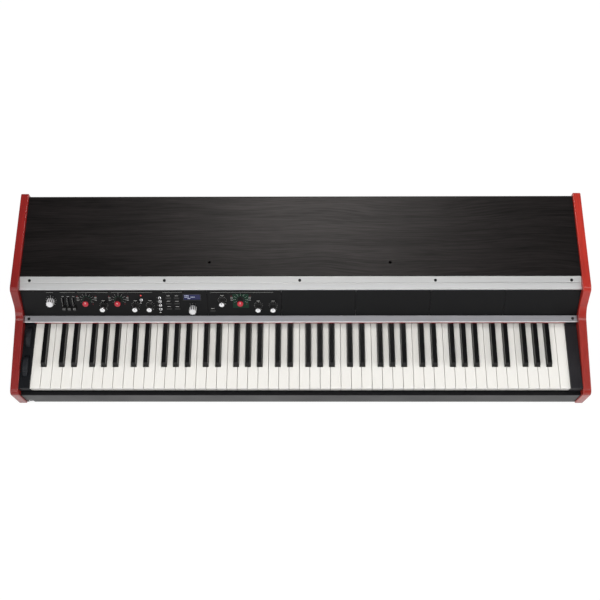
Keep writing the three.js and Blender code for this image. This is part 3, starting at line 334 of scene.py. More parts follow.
wood_grain, given, made, place = new_effect(
    "wood_grain", ("Light", "Dark"), ("Gloss", "Along Y", "Front Tone"), "Figure"
)
place_x, place_y, place_z = axes(wood_grain, place)
turned_place = add_node(wood_grain, "CombineXYZ", place_y, place_x, place_z)
either_place = add_node(wood_grain, "Mix", given["Along Y"], data_type="VECTOR")
wire(wood_grain, place, either_place.inputs[4])
wire(wood_grain, turned_place.outputs["Vector"], either_place.inputs[5])
grain_place = either_place.outputs[1]
wander = noise(wood_grain, grain_place, (2.5, 7, 7), 1, 1)
bend = add_node(wood_grain, "CombineXYZ", 0, sums(wood_grain, "MULTIPLY", wander, grain_wave))
bent_place = vector_sums(wood_grain, "ADD", grain_place, bend.outputs["Vector"])
broad = noise(wood_grain, bent_place, (3, 45, 45), 1, 3)
pores = noise(wood_grain, bent_place, (28, 900, 900), 1, 5)
cloud = noise(wood_grain, bent_place, (6, 9, 9), 1, 2)
streaks = noise(wood_grain, bent_place, (9, 320, 320), 1, 3)
figure = sums(wood_grain, "MULTIPLY", broad, 0.3)
for layer, weight in ((streaks, 0.4), (pores, 0.3)):
    figure = sums(wood_grain, "ADD", figure, sums(wood_grain, "MULTIPLY", layer, weight))
tone = remap(wood_grain, figure, 0.38, 0.62, 0, 1)
colour = mixed_colour(wood_grain, tone, given["Light"], given["Dark"])
# Painted shade: the colour darkens towards the front, down to the painted front shade factor
painted_arm_shade = remap(wood_grain, place_y, *front_shade_span, given["Front Tone"], 1)
cloud_tone = remap(wood_grain, cloud, 0.3, 0.7, 0.88, 1.12)
shade = sums(wood_grain, "MULTIPLY", cloud_tone, painted_arm_shade)
rough_high = sums(wood_grain, "ADD", given["Gloss"], 0.1)
wire(wood_grain, toned_colour(wood_grain, colour, shade), made["Colour"])
wire(wood_grain, remap(wood_grain, pores, 0.3, 0.7, given["Gloss"], rough_high), made["Roughness"])
wire(wood_grain, remap(wood_grain, pores, 0.35, 0.6, 0, 1), made["Height"])
wire(wood_grain, tone, made["Figure"])


def wood_finish(
    name, light, dark, gloss, along_y, coat, coat_roughness, shine, pore_depth, painted_front_shade=1.0
):
    """Lacquered wood: grain in the colour, and in the lacquer where its coat is a range"""
    finish, tree, shader = new_finish(
        name, light, gloss, coat=coat[0], coat_roughness=coat_roughness, shine=shine
    )
    # The grain group also paints shade towards the front, by the painted front shade factor
    grain = add_effect(
        tree,
        shader,
        wood_grain,
        pore_depth,
        Light=light,
        Dark=dark,
        Gloss=gloss,
        Along_Y=along_y,
        Front_Tone=painted_front_shade,
    )
    if coat[0] != coat[1]:
        wire(tree, remap(tree, grain.outputs["Figure"], 0, 1, *coat), shader.inputs["Coat Weight"])
    return finish


def start_shaping(piece, select_all=False):
    """Opens edit mode on one piece alone"""
    bpy.ops.object.select_all(action="DESELECT")
    piece.select_set(True)
    bpy.context.view_layer.objects.active = piece
    bpy.ops.object.mode_set(mode="EDIT")
    bpy.ops.mesh.select_all(action="SELECT" if select_all else "DESELECT")


def pick(kind, test):
    """In edit mode, selects the vertices, edges or faces that pass a test"""
    bpy.ops.mesh.select_mode(type=kind)
    bpy.ops.mesh.select_all(action="DESELECT")
    mesh = bmesh.from_edit_mesh(bpy.context.object.data)
    for item in {"VERT": mesh.verts, "EDGE": mesh.edges, "FACE": mesh.faces}[kind]:
        if test(item):
            item.select_set(True)
    mesh.select_flush_mode()
    bmesh.update_edit_mesh(bpy.context.object.data)


def smooth_shading(smooth_angle):
    """Smooths the shading of rounded parts and keeps it flat on flat faces"""
    bpy.ops.object.shade_smooth_by_angle(angle=math.radians(smooth_angle))
    apply_modifier(bpy.context.object, "WEIGHTED_NORMAL", keep_sharp=True)


def end_shaping(smooth_angle=30):
    """Closes edit mode with the faces pointing out and the shading smoothed"""
    bpy.ops.mesh.select_all(action="SELECT")
    bpy.ops.mesh.normals_make_consistent(inside=False)
    bpy.ops.object.mode_set(mode="OBJECT")
    smooth_shading(smooth_angle)
    return bpy.context.object


def apply_modifier(piece, kind, **values):
    """Adds a modifier to a piece and applies it"""
    bpy.ops.object.select_all(action="DESELECT")
    piece.select_set(True)
    bpy.context.view_layer.objects.active = piece
    modifier = piece.modifiers.new(kind.lower(), kind)
    for label, value in values.items():
        setattr(modifier, label, value)
    bpy.ops.object.modifier_apply(modifier=modifier.name)


def primitive(operator, name, **values):
    """A Blender primitive under its own name, with its place in its mesh"""
    bpy.ops.object.select_all(action="DESELECT")
    operator(**values)
    piece = bpy.context.object
    piece.name = piece.data.name = name
    bpy.ops.object.transform_apply(location=True, rotation=True, scale=True)
    return piece


def dress(piece, finish, body, slot_name, *replaced):
    """Gives a piece its material, and says what it rides on and stands for"""
    piece.data.materials.clear()
    piece.data.materials.append(finish)
    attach(piece, body)
    if replaced:
        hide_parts(*replaced)
    return piece


def side_panel(name):
    """A board from a flat face: its top edge is divided, moved and rounded, and it is thickened"""
    low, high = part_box(name)
    board = primitive(
        bpy.ops.mesh.primitive_plane_add,
        name + "_board",
        size=1,
        rotation=(math.pi / 2, 0, math.pi / 2),
    )
    start_shaping(board, select_all=True)
    bpy.ops.transform.resize(value=(1, high.y - low.y, high.z - low.z))
    centre = (low + high) / 2
    bpy.ops.transform.translate(value=(low.x, centre.y, centre.z))
    pick("EDGE", lambda edge: all(v.co.z > centre.z for v in edge.verts))
    bpy.ops.mesh.subdivide(number_cuts=2)
    nose = at_keys(0, side_front, nose_rise)
    valley = at_keys(0, *valley_place)
    knee = at_keys(0, knee_back, side_top)
    front_to_back = sorted(
        v.co.y for v in bmesh.from_edit_mesh(board.data).verts if v.co.z > centre.z
    )
    for along, corner in zip(front_to_back[:3], (nose, valley, knee)):
        pick("VERT", lambda v: v.co.z > centre.z and abs(v.co.y - along) < 1e-5)
        bpy.ops.transform.translate(value=(0, corner.y - along, corner.z - high.z))
    for corner, reach, steps in (
        (nose, nose_reach, 12),
        (valley, valley_reach, 24),
        (knee, knee_reach, 14),
        (at_keys(0, side_rear, side_top), heel_reach, 6),
        (at_keys(0, side_rear, side_bottom), heel_reach, 6),
        (at_keys(0, side_front, side_bottom), heel_reach, 6),
    ):
        spot = (corner.y, corner.z)
        pick("VERT", lambda v: math.dist((v.co.y, v.co.z), spot) < 1e-4)
        bpy.ops.mesh.bevel(offset=reach, segments=steps, affect="VERTICES", clamp_overlap=False)
    bpy.ops.mesh.select_all(action="SELECT")
    bpy.ops.mesh.extrude_region_move(TRANSFORM_OT_translate={"value": (high.x - low.x, 0, 0)})
    pick(
        "EDGE",
        lambda edge: len(edge.link_faces) == 2 and edge.calc_face_angle() > math.radians(60),
    )
    bpy.ops.mesh.bevel(offset=side_edge_round, segments=4, clamp_overlap=False)
    return end_shaping()


# Each board gets its own copy of the red lacquer, shaded on the left and lit on the right, as
# painted light.
for side, reds_with_painted_light, painted_front_shade in (
    ("left", red_shaded_left, left_painted_front_shade),
    ("right", red_lit_right, right_painted_front_shade),
):
    lacquer = wood_finish("red_lacquer_" + side, *reds_with_painted_light, painted_front_shade=painted_front_shade, **red_lacquer)
    node = "side_panel_" + side
    dress(side_panel(node), lacquer, "case", "red_wood", node)

# Lid board
# A board veneered in dark open-grained wood under satin black lacquer, rounded at the rear and
# drilled right through for the two pins of a music rest.
lid_light = (0.0105, 0.0078, 0.0080, 1)
lid_dark = (0.0015, 0.0012, 0.0011, 1)
lid_lacquer = {
    "gloss": 0.44,
    "along_y": 0.0,
    "coat": (0.64, 0.43),
    "coat_roughness": 0.37,
    "shine": 0.0,
    "pore_depth": 0.00004,
}


def merged_copy(node, name):
    """A copy of a CAD node with its loose triangles merged into flat faces"""
    piece = bpy.data.objects.new(name, frame["nodes"][node].data.copy())
    bpy.context.collection.objects.link(piece)
    start_shaping(piece, select_all=True)
    bpy.ops.mesh.remove_doubles(threshold=1e-6)
    bpy.ops.mesh.dissolve_limited(angle_limit=math.radians(1))
    bpy.ops.object.mode_set(mode="OBJECT")
    return piece


def dress_solid(node, name, ease, finish, body, slot_name):
    """Dresses a finer copy of a CAD node, with its sharp edges eased, in place of the node"""
    piece = merged_copy(node, name)
    apply_modifier(
        piece,
        "BEVEL",
        width=ease,
        segments=2,
        limit_method="ANGLE",
        angle_limit=math.radians(35),
    )
    smooth_shading(30)
    return dress(piece, finish, body, slot_name, node)


lid_veneer = wood_finish("black_veneer", lid_light, lid_dark, **lid_lacquer)
dress_solid("lid_board", "lid_veneered", 0.0006, lid_veneer, "case", "black_wood")

# Trim rails
# Two extruded aluminium rails across the case, brushed along their length and anodised, the lower
# one in grey with its front lip painted bright as a painted highlight of its edge. The upper one
# has a rolled lip and one groove.
aluminium_light = (0.67, 0.675, 0.675, 1)
aluminium_dark = (0.575, 0.58, 0.58, 1)
grey_light = (0.29, 0.29, 0.305, 1)
grey_dark = (0.245, 0.245, 0.26, 1)
# A bright colour painted on the lower rail's front lip: a painted highlight of its edge
lip_highlight_colour = (0.86, 0.86, 0.87, 1)
brushed_gloss = (0.34, 0.46)
line_depth = 0.000006
lower_rail_front = (151.5, 15.2)
lower_lip_round = 1.5
lip_highlight_fade = 0.0002

brushed_lines, given, made, place = new_effect(
    "brushed_lines", ("Light", "Dark"), ("Smooth", "Rough", "Cut")
)
lines = noise(brushed_lines, place, (12, 2600, 2600), 1, 3)
bands = noise(brushed_lines, place, (2.2, 160, 160), 1, 2)
tone = remap(brushed_lines, lines, 0.3, 0.7, 0, 1)
colour = mixed_colour(brushed_lines, tone, given["Light"], given["Dark"])
# Painted highlight: in front of this line the lower rail's colour turns bright
lip_rear = at_keys(0, lower_rail_front[0] + lower_lip_round, 0).y
lip = remap(brushed_lines, axes(brushed_lines, place)["Y"], lip_rear, lip_rear + lip_highlight_fade, 1, 0)
lip = sums(brushed_lines, "MULTIPLY", lip, given["Cut"])
wire(brushed_lines, mixed_colour(brushed_lines, lip, colour, lip_highlight_colour), made["Colour"])
roughness = remap(brushed_lines, bands, 0.3, 0.7, given["Smooth"], given["Rough"])
wire(brushed_lines, roughness, made["Roughness"])
wire(brushed_lines, tone, made["Height"])
for node, name, light, dark, lip_highlight_share in (
    ("upper_trim_rail", "brushed_aluminium", aluminium_light, aluminium_dark, 0.0),
    ("lower_trim_rail", "anodised_grey", grey_light, grey_dark, 1.0),
):
    metal, tree, shader = new_finish(name, light, brushed_gloss[0], metallic=1.0)
    add_effect(
        tree,
        shader,
        brushed_lines,
        line_depth,
        Light=light,
        Dark=dark,
        Smooth=brushed_gloss[0],
        Rough=brushed_gloss[1],
        Cut=lip_highlight_share,
    )
    dress_solid(node, node + "_eased", 0.00025, metal, "case", "brushed_aluminium")

# Screws of the trim rails
# Black oxide button-head screws with a hexagon socket, five in the upper rail and two at the
# ends of the lower one.
upper_rail_front = (206.9, 82.45)
upper_rail_tilt = 12.4
lower_rail_tilt = 12
upper_screw_back = 21.3
lower_screw_back = 8.6
screw_radius = 3.4
screw_height = 1.6
hexagon_radius = 1.3
hexagon_depth = 1.1


def shift(across=0, along=0, out=0):
    """The matrix of a move, in millimetres"""
    return Matrix.Translation((across / 1000, along / 1000, out / 1000))


def turn(degrees, axis="Z"):
    """The matrix of a turn about an axis"""
    return Matrix.Rotation(math.radians(degrees), 4, axis)


def turned(name, profile, sides=32):
    """A turned piece about Z, extruded upwards face by face through (radius, height) in mm"""
    (radius, height), *rest = profile
    primitive(
        bpy.ops.mesh.primitive_circle_add,
        name,
        vertices=sides,
        radius=radius / 1000,
        fill_type="NGON",
        location=(0, 0, height / 1000),
    )
    start_shaping(bpy.context.object, select_all=True)
    bpy.ops.mesh.select_mode(type="FACE")
    for next_radius, next_height in rest:
        rise = (next_height - height) / 1000
        bpy.ops.mesh.extrude_region_move(TRANSFORM_OT_translate={"value": (0, 0, rise)})
        widening = next_radius / radius
        bpy.ops.transform.resize(value=(widening, widening, 1))
        radius, height = next_radius, next_height
    return end_shaping()


def placed_copy(model, name, matrix):
    """A copy of a modelled piece with its own mesh, moved to its place"""
    piece = bpy.data.objects.new(name, model.data.copy())
    bpy.context.collection.objects.link(piece)
    piece.data.transform(matrix)
    piece.data.name = name
    return piece


def discard(*models):
    """Removes the models that copies were taken from"""
    for model in models:
        bpy.data.objects.remove(model)


def vary_roughness(tree, shader, scale, low, high):
    """Lets the roughness wander between two values in a fine pattern"""
    pattern = noise(tree, own_place(tree), (1, 1, 1), scale)
    wire(tree, remap(tree, pattern, 0.3, 0.7, low, high), shader.inputs["Roughness"])


black_oxide, tree, shader = new_finish("black_oxide", (0.012, 0.012, 0.013, 1), 0.35, metallic=0.6)
vary_roughness(tree, shader, 3000, 0.25, 0.5)
screw_model = turned(
    "screw_model",
    [
        (3.0, -0.4),
        (screw_radius, 0),
        (screw_radius, 0.5),
        (3.1, 1.1),
        (2.3, 1.5),
        (hexagon_radius, screw_height),
        (hexagon_radius, screw_height - hexagon_depth),
    ],
    24,
)


def on_rail(front, tilt, across, back):
    """A place on a trim rail, at a distance back along its top from its front edge"""
    reach = back * math.cos(math.radians(tilt))
    rise = back * math.sin(math.radians(tilt))
    place = at_keys(across, front[0] + reach, front[1] + rise)
    return Matrix.Translation(place) @ turn(tilt, "X")


screw_spots = [
    on_rail(upper_rail_front, upper_rail_tilt, across, upper_screw_back)
    for across in (-614, -307, 0, 307, 614)
] + [
    on_rail(lower_rail_front, lower_rail_tilt, across, lower_screw_back)
    for across in (-626, 626)
]
for number, spot in enumerate(screw_spots, 1):
    screw = placed_copy(screw_model, f"trim_screw_{number}", spot)
    dress(screw, black_oxide, "case", "black_sheet")

# Control panel
# Folded steel sheets behind the slope, painted satin black: one wide module with most controls,
# a second module, and four blank ones, with a hairline seam between each.
panel_black = (0.0085, 0.0086, 0.0092, 1)
tone_swing = 0.12
slope_angle = 57.2054
slope_foot = (167.2, 15)
on_slope = Matrix.Translation(at_keys(0, *slope_foot)) @ turn(slope_angle, "X")

fine_texture, given, made, place = new_effect(
    "fine_texture", ("Base",), ("Grain", "Gloss", "Swing")
)
speckle = noise(fine_texture, place, (1, 1, 1), given["Grain"], 2)
smear = noise(fine_texture, place, (1, 1, 1), 9, 4)
rough_high = sums(fine_texture, "ADD", given["Gloss"], given["Swing"])
roughness = remap(fine_texture, smear, 0.32, 0.68, given["Gloss"], rough_high)
tone = remap(fine_texture, smear, 0.3, 0.7, 1 - tone_swing, 1 + tone_swing)
wire(fine_texture, toned_colour(fine_texture, given["Base"], tone), made["Colour"])
wire(fine_texture, roughness, made["Roughness"])
wire(fine_texture, speckle, made["Height"])


def textured_finish(name, base, gloss, swing, grain, depth, **shading):
    """A painted, moulded or plated surface: a fine grain, and a gloss that varies a little"""
    finish, tree, shader = new_finish(name, base, gloss, **shading)
    add_effect(
        tree,
        shader,
        fine_texture,
        depth,
        Base=base,
        Grain=grain,
        Gloss=gloss,
        Swing=swing,
    )
    return finish


panel_paint = textured_finish(
    "satin_black_paint", panel_black, gloss=0.34, swing=0.1, grain=2200, depth=0.00003, shine=0.12
)
for node in ("main_control_panel", "second_control_panel", "blank_panels"):
    dress_solid(node, node + "_painted", 0.00015, panel_paint, "case", "panel_black")

# Printed scales
# White silk-screened marks on the control modules: a dial of ticks round each knob, plain
# numbers, tick ladders beside the fader slots, and thin rules over each group.
ink_height = 0.07
ink_surface = {"gloss": 0.5, "swing": 0.15, "grain": 900, "depth": 0.000004}
tick_width = 0.6
long_tick_length = 2.2
number_height = 3.0
toggle_pivot_height = 1.5
volume_dial_scale = 1.2
label_reach = 13.2
fader_centre = 37.86
fader_scale = 26
rule_line = 68.5
small_knobs = [f"knob_{number}" for number in range(1, 7)]
selectors = ["selector_1", "selector_2", "selector_3"]
buttons = [f"button_{number}" for number in range(1, 7)] + ["module_button"]
second_module = ("knob_4", "knob_5", "knob_6", "selector_3", "module_button")
joints = {joint["name"]: joint for joint in frame["joints"]}


def slope_spot(across, along):
    """The matrix of a place on the slope, from millimetres across the case and up the slope"""
    return on_slope @ shift(across, along)


def slope_middle(node):
    """The middle of a CAD node in millimetres across the case, up the slope and out of it"""
    low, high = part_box(node)
    return on_slope.inverted() @ ((low + high) / 2) * 1000


def at_joint(name):
    """The matrix of a joint on the slope, with Z out of the panel"""
    return Matrix.Translation(joints[name]["pos_m"]) @ turn(slope_angle, "X")


ink = textured_finish("white_ink", (0.60, 0.60, 0.58, 1), **ink_surface)
red_ink = textured_finish("red_ink", (0.55, 0.03, 0.03, 1), **ink_surface)
green_ink = textured_finish("green_ink", (0.008, 0.034, 0.020, 1), shine=0.2, **ink_surface)


def ink_bar(name, width, length, height=ink_height):
    """A flat bar of ink: a plane, thickened by an extrusion"""
    bar = primitive(bpy.ops.mesh.primitive_plane_add, name, size=1)
    start_shaping(bar, select_all=True)
    bpy.ops.transform.resize(value=(width / 1000, length / 1000, 1))
    bpy.ops.mesh.extrude_region_move(TRANSFORM_OT_translate={"value": (0, 0, height / 1000)})
    return end_shaping()


def ink_number(text):
    """A plain number of ink, centred on its own origin"""
    bpy.ops.object.select_all(action="DESELECT")
    bpy.ops.object.text_add()
    letters = bpy.context.object.data
    letters.body = text
    letters.size = number_height / 1000
    letters.align_x = "CENTER"
    letters.align_y = "CENTER"
    letters.extrude = ink_height / 2000
    letters.resolution_u = 2
    bpy.ops.object.convert(target="MESH")
    number = bpy.context.object
    number.name = number.data.name = "number_" + text
    start_shaping(number, select_all=True)
    bpy.ops.mesh.remove_doubles(threshold=1e-6)
    return end_shaping()


long_tick = ink_bar("long_tick", tick_width, long_tick_length)
short_tick = ink_bar("short_tick", tick_width, 1.3)
wide_tick = ink_bar("wide_tick", 5.2, 0.8)
label_bar = ink_bar("label_bar", 7.5, 0.9)
rule = ink_bar("rule", 1.0, 0.3)
red_tick = ink_bar("red_tick", 1.6, 0.9)
digits = {str(value): ink_number(str(value)) for value in range(11)}


def spread_angles(last, count):
    """Angles in equal steps, from as far to the left as the last one is to the right"""
    return [last * (2 * step / (count - 1) - 1) for step in range(count)]


def dial(radius, last_angle, count, long_every):
    """Ticks round a knob, with short ones between the long ones"""
    ticks = []
    for step, angle in enumerate(spread_angles(last_angle, count)):
        is_long = step % long_every == 0
        reach = radius + long_tick_length * (1 if is_long else 0.6) / 2
        ticks.append((long_tick if is_long else short_tick, turn(-angle) @ shift(0, reach)))
    return ticks


def ring_of_numbers(spot, radius, texts, last_angle):
    """Numbers round a knob, upright, from one angle to the other"""
    marks = []
    for text, degrees in zip(texts, spread_angles(last_angle, len(texts))):
        angle = math.radians(degrees)
        place = shift(radius * math.sin(angle), radius * math.cos(angle))
        marks.append((digits[text], spot @ place))
    return marks


def marks_of(control):
    """The list of marks of the module that a control is on"""
    return module_marks if control in second_module else main_marks


knob_dial = dial(8.8, 150, 11, 5)
selector_dial = dial(11.2, 120, 9, 1)
main_marks, module_marks, red_marks = [], [], []
for name in ["volume_knob", *small_knobs]:
    marks = marks_of(name)
    spot = at_joint(name + "_turn")
    larger = Matrix.Scale(volume_dial_scale if name == "volume_knob" else 1, 4)
    marks += [(bar, spot @ larger @ place) for bar, place in knob_dial]
    marks += ring_of_numbers(spot, label_reach, ("0", "10"), 152)
    if name != "volume_knob":
        marks.append((label_bar, spot @ shift(0, label_reach)))
for name in selectors:
    marks = marks_of(name)
    spot = at_joint(name + "_turn")
    marks += [(bar, spot @ place) for bar, place in selector_dial]
    marks += ring_of_numbers(spot, 16, [str(step) for step in range(1, 10)], 120)
    for side in (-1, 1):
        marks += [(wide_tick, spot @ shift(side * 20.5, along)) for along in (-2, 2.2, 6.4)]
    for across, along in ((13, -12.8), (-21.4, 9.8), (21.4, 9.8)):
        red_marks.append((red_tick, spot @ shift(across, along)))
for angle in (-30, 0, 30):
    spot = at_joint("encoder_knob_turn") @ turn(angle) @ shift(0, 12.2)
    main_marks.append((short_tick, spot))
for number in (1, 2, 3):
    across = slope_middle(f"fader_{number}").x
    for step in range(11):
        along = fader_centre + fader_scale * (step / 10 - 0.5)
        main_marks.append((short_tick, slope_spot(across - 3.6, along) @ turn(90)))
    main_marks.append((digits[str(number)], slope_spot(across, fader_centre - 19.5)))
    main_marks.append((wide_tick, slope_spot(across, fader_centre + 19)))
for name in buttons:
    middle = slope_middle(name)
    marks_of(name).append((label_bar, slope_spot(middle.x, middle.y + 5.2)))
for number in range(1, 5):
    spot = at_joint(f"toggle_{number}_flip") @ shift(-6.6, 0, -toggle_pivot_height)
    main_marks.append((digits[str(number)], spot))
for left, right, marks in (
    (-577, -561, main_marks),
    (-546, -512, main_marks),
    (-506, -436, main_marks),
    (-430, -336, main_marks),
    (-312, -268, main_marks),
    (-203, -60, module_marks),
):
    stretch = Matrix.Diagonal((right - left, 1, 1, 1))
    marks.append((rule, slope_spot((left + right) / 2, rule_line) @ stretch))


def joined_copies(name, marks):
    """Copies of models at their places, joined into one piece"""
    copies = [placed_copy(model, f"{name}_{i}", spot) for i, (model, spot) in enumerate(marks)]
    bpy.ops.object.select_all(action="DESELECT")
    for copy in copies:
        copy.select_set(True)
    bpy.context.view_layer.objects.active = copies[0]
    bpy.ops.object.join()
    copies[0].name = copies[0].data.name = name
    return copies[0]


for name, marks, finish in (
    ("main_panel_scales", main_marks, ink),
    ("second_panel_scales", module_marks, ink),
    ("selector_red_marks", red_marks, red_ink),
):
    dress(joined_copies(name, marks), finish, "case", "panel_black")
discard(long_tick, short_tick, wide_tick, label_bar, rule, red_tick, *digits.values())
green_field = ink_bar("selector_green_field", 36, 40)
green_field.data.transform(at_joint("selector_3_turn") @ shift(0, -4, -0.04))
dress(green_field, green_ink, "case", "panel_black")
green_ring = turned(
    "green_ring", [(8.8, 0), (10.2, 0), (10.2, ink_height), (8.8, ink_height)], 48
)
for name in ("selector_1", "selector_2"):
    ring = placed_copy(green_ring, name + "_green_ring", at_joint(name + "_turn"))
    dress(ring, green_ink, "case", "panel_black")
discard(green_ring)

# Small knobs
# Moulded black knobs with ribbed sides, a wide skirt and a turned metal cap with a dark pointer.
# Each is pressed onto its shaft through the panel.
rib_margin = 0.0001
knob_black = textured_finish(
    "knob_black", (0.012, 0.012, 0.012, 1), gloss=0.35, swing=0.15, grain=3000, depth=0.00002
)
pointer_black = textured_finish(
    "pointer_black", (0.01, 0.01, 0.01, 1), gloss=0.5, swing=0.1, grain=3000, depth=0.00001
)
spun_metal, tree, shader = new_finish("spun_metal", (0.86, 0.86, 0.87, 1), 0.2, metallic=1.0)
vary_roughness(tree, shader, 1800, 0.14, 0.3)


def cut_ribs(piece, low, high, sides, depth):
    """Presses every second side face of a turned piece inwards, between two heights"""
    start_shaping(piece)

    def on_rib(face):
        centre = face.calc_center_median() * 1000
        step = int(math.atan2(centre.y, centre.x) / (2 * math.pi) * sides + sides)
        return low < centre.z < high and abs(face.normal.z) < 0.5 and step % 2 == 0

    pick("FACE", on_rib)
    bpy.ops.mesh.inset(thickness=rib_margin, depth=-depth / 1000, use_individual=True)
    return end_shaping()


def drawn_block(name, size, middle=(0, 0, 0)):
    """A cube drawn out to a size in millimetres, still in edit mode for its edges to be eased"""
    centre = Vector(middle) / 1000
    piece = primitive(bpy.ops.mesh.primitive_cube_add, name, size=1, location=centre)
    start_shaping(piece, select_all=True)
    bpy.ops.transform.resize(value=Vector(size) / 1000, center_override=centre)
    return piece


def pointer(name, size, middle=(0, 0, 0)):
    """A thin raised line on a knob"""
    drawn_block(name, size, middle)
    bpy.ops.mesh.bevel(offset=size[2] * 0.0003, segments=2)
    return end_shaping()


def dress_knobs(names, slot_name, *parts):
    """Copies the parts of a knob to each control, with the first part in place of its node"""
    for name in names:
        spot = at_joint(name + "_turn")
        replaced = [name]
        for model, label, finish in parts:
            piece = placed_copy(model, f"{name}_{label}", spot)
            dress(piece, finish, name, slot_name, *replaced)
            replaced = []
    discard(*[model for model, label, finish in parts])


knob_body = turned(
    "knob_body",
    [(7.0, 0.6), (7.4, 0.9), (7.4, 2.2), (7.1, 2.8), (6.4, 3.3), (6.1, 14.2), (5.6, 14.8)],
    48,
)
cut_ribs(knob_body, 4.5, 13.8, 48, 0.3)
knob_cap = turned(
    "knob_cap",
    [(5.4, 14.6), (6.0, 14.9), (6.0, 18.2), (5.7, 18.8), (5.0, 19.0), (3.0, 18.95)],
    48,
)
dress_knobs(
    small_knobs,
    "silver_cap_knob",
    (knob_body, "body", knob_black),
    (knob_cap, "cap", spun_metal),
    (pointer("knob_pointer", (1.0, 4.6, 0.2), (0, 2.8, 19.0)), "pointer", pointer_black),
)

# Selectors
# Larger knobs for stepped switches: a black skirt with a pointer nib, a black ribbed body, and a
# red cap with a domed top and a white line.
selector_red = textured_finish(
    "selector_red",
    (0.50, 0.010, 0.028, 1),
    gloss=0.3,
    swing=0.1,
    grain=2500,
    depth=0.00002,
    coat=0.3,
    coat_roughness=0.2,
)
pointer_white = textured_finish(
    "pointer_white", (0.8, 0.8, 0.78, 1), gloss=0.5, swing=0.1, grain=3000, depth=0.00001
)
selector_collar = turned(
    "selector_collar", [(8.3, 0.6), (8.6, 0.9), (8.6, 2.2), (8.3, 2.6), (7.4, 2.7)], 48
)
selector_body = turned("selector_body", [(7.4, 2.6), (7.6, 3.2), (7.0, 14.2), (6.6, 14.8)], 40)
cut_ribs(selector_body, 4.2, 13.6, 40, 0.4)
selector_cap = turned(
    "selector_cap",
    [(6.0, 14.6), (6.8, 14.9), (6.7, 17.6), (6.2, 18.4), (5.2, 18.9), (3.4, 19.0)],
    40,
)
dress_knobs(
    selectors,
    "red_knob",
    (selector_body, "body", knob_black),
    (selector_cap, "cap", selector_red),
    (selector_collar, "collar", knob_black),
    (pointer("selector_nib", (3.0, 4.0, 2.0), (0, 8.4, 1.6)), "nib", knob_black),
    (pointer("selector_line", (1.1, 4.2, 0.5), (0, 3.6, 18.9)), "line", pointer_white),
)

# Volume knob and encoder
# Two knobs of satin metal over a black core. Ten flutes reach through to the core, whose black
# shows in them as painted shade, and the dished top lies inside a bright rim.
flute_count = 10
flute_sides = 80
flute_start = 0.0062
satin_metal = textured_finish(
    "satin_metal",
    (0.78, 0.78, 0.79, 1),
    gloss=0.3,
    swing=0.12,
    grain=1500,
    depth=0.000006,
    metallic=0.3,
)
fluted_body = turned(
    "fluted_body",
    [
        (8.0, 0.6),
        (8.4, 1.2),
        (8.4, 5.5),
        (8.4, 10.8),
        (8.3, 15.7),
        (7.8, 16.7),
        (6.5, 17.0),
        (6.0, 16.3),
        (2.7, 16.1),
    ],
    flute_sides,
)


def from_flute(vertex):
    """How many sides of the knob lie between a vertex and the middle of the nearest flute"""
    step = math.atan2(vertex.co.y, vertex.co.x) / (2 * math.pi) * flute_count
    return abs(step - round(step)) * flute_sides / flute_count


start_shaping(fluted_body)
for depth_share, half_width in ((0.93, 2.4), (0.94, 1.6), (0.97, 0.6)):
    pick("VERT", lambda v: v.co.xy.length > flute_start and from_flute(v) < half_width)
    bpy.ops.transform.resize(value=(depth_share, depth_share, 1), center_override=(0, 0, 0))
end_shaping(40)
# A black core that shows in the flutes as painted shade
flute_shade_core = turned("flute_shade_core", [(7.3, 1.0), (7.6, 1.4), (7.6, 15.3)], 48)
dress_knobs(
    ("volume_knob", "encoder_knob"),
    "silver_knob",
    (fluted_body, "body", satin_metal),
    (flute_shade_core, "core", pointer_black),
)

# Faders
# Three slide controls in slots, each with a waisted black cap on a flat stem.
fader_line_height = 6.1
for name in ("fader_1", "fader_2", "fader_3"):
    dress_solid(name, name + "_cap", 0.0004, knob_black, name, "fader_plastic")
    middle = slope_middle(name)
    line = pointer(name + "_line", (7.0, 0.7, 0.3))
    line.data.transform(on_slope @ shift(middle.x, middle.y, fader_line_height))
    dress(line, pointer_white, name, "fader_plastic")

# Toggles
# Five miniature bat-handle switches of plated brass. Each lever leans in a threaded bush that a
# hexagon nut clamps to the panel.
toggle_lean = 12
thread_pitch = 0.32
bright_plate = textured_finish(
    "bright_plate",
    (0.84, 0.84, 0.85, 1),
    gloss=0.12,
    swing=0.12,
    grain=1200,
    depth=0.000004,
    metallic=1.0,
)
lever_model = turned(
    "lever_model",
    [
        (0.6, -1.2),
        (1.3, -0.8),
        (1.55, 0),
        (1.2, 0.9),
        (0.85, 1.4),
        (1.0, 4.0),
        (1.6, 7.8),
        (1.68, 8.8),
        (1.4, 9.6),
        (0.8, 10.0),
    ],
    24,
)
nut_model = turned("nut_model", [(4.0, 0), (4.15, 0.2), (4.15, 1.25), (3.8, 1.5)], 6)
bush_profile = [(2.9, 0.2)]
for number in range(5):
    thread_low = 1.5 + number * thread_pitch
    bush_profile += [(2.83, thread_low), (2.96, thread_low + thread_pitch / 2)]
bush_profile += [(2.9, 3.08), (1.95, 3.11), (1.88, 1.8)]
bush_model = turned("bush_model", bush_profile, 24)
for name in ("toggle_1", "toggle_2", "toggle_3", "toggle_4", "mini_toggle"):
    spot = at_joint(name + "_flip")
    lever = placed_copy(lever_model, name + "_lever", spot @ turn(toggle_lean, "X"))
    dress(lever, bright_plate, name, "chrome", name)
    seat = spot @ shift(out=-toggle_pivot_height)
    for model, label in ((nut_model, "_nut"), (bush_model, "_bush")):
        dress(placed_copy(model, name + label, seat), bright_plate, "case", "chrome")
discard(lever_model, nut_model, bush_model)

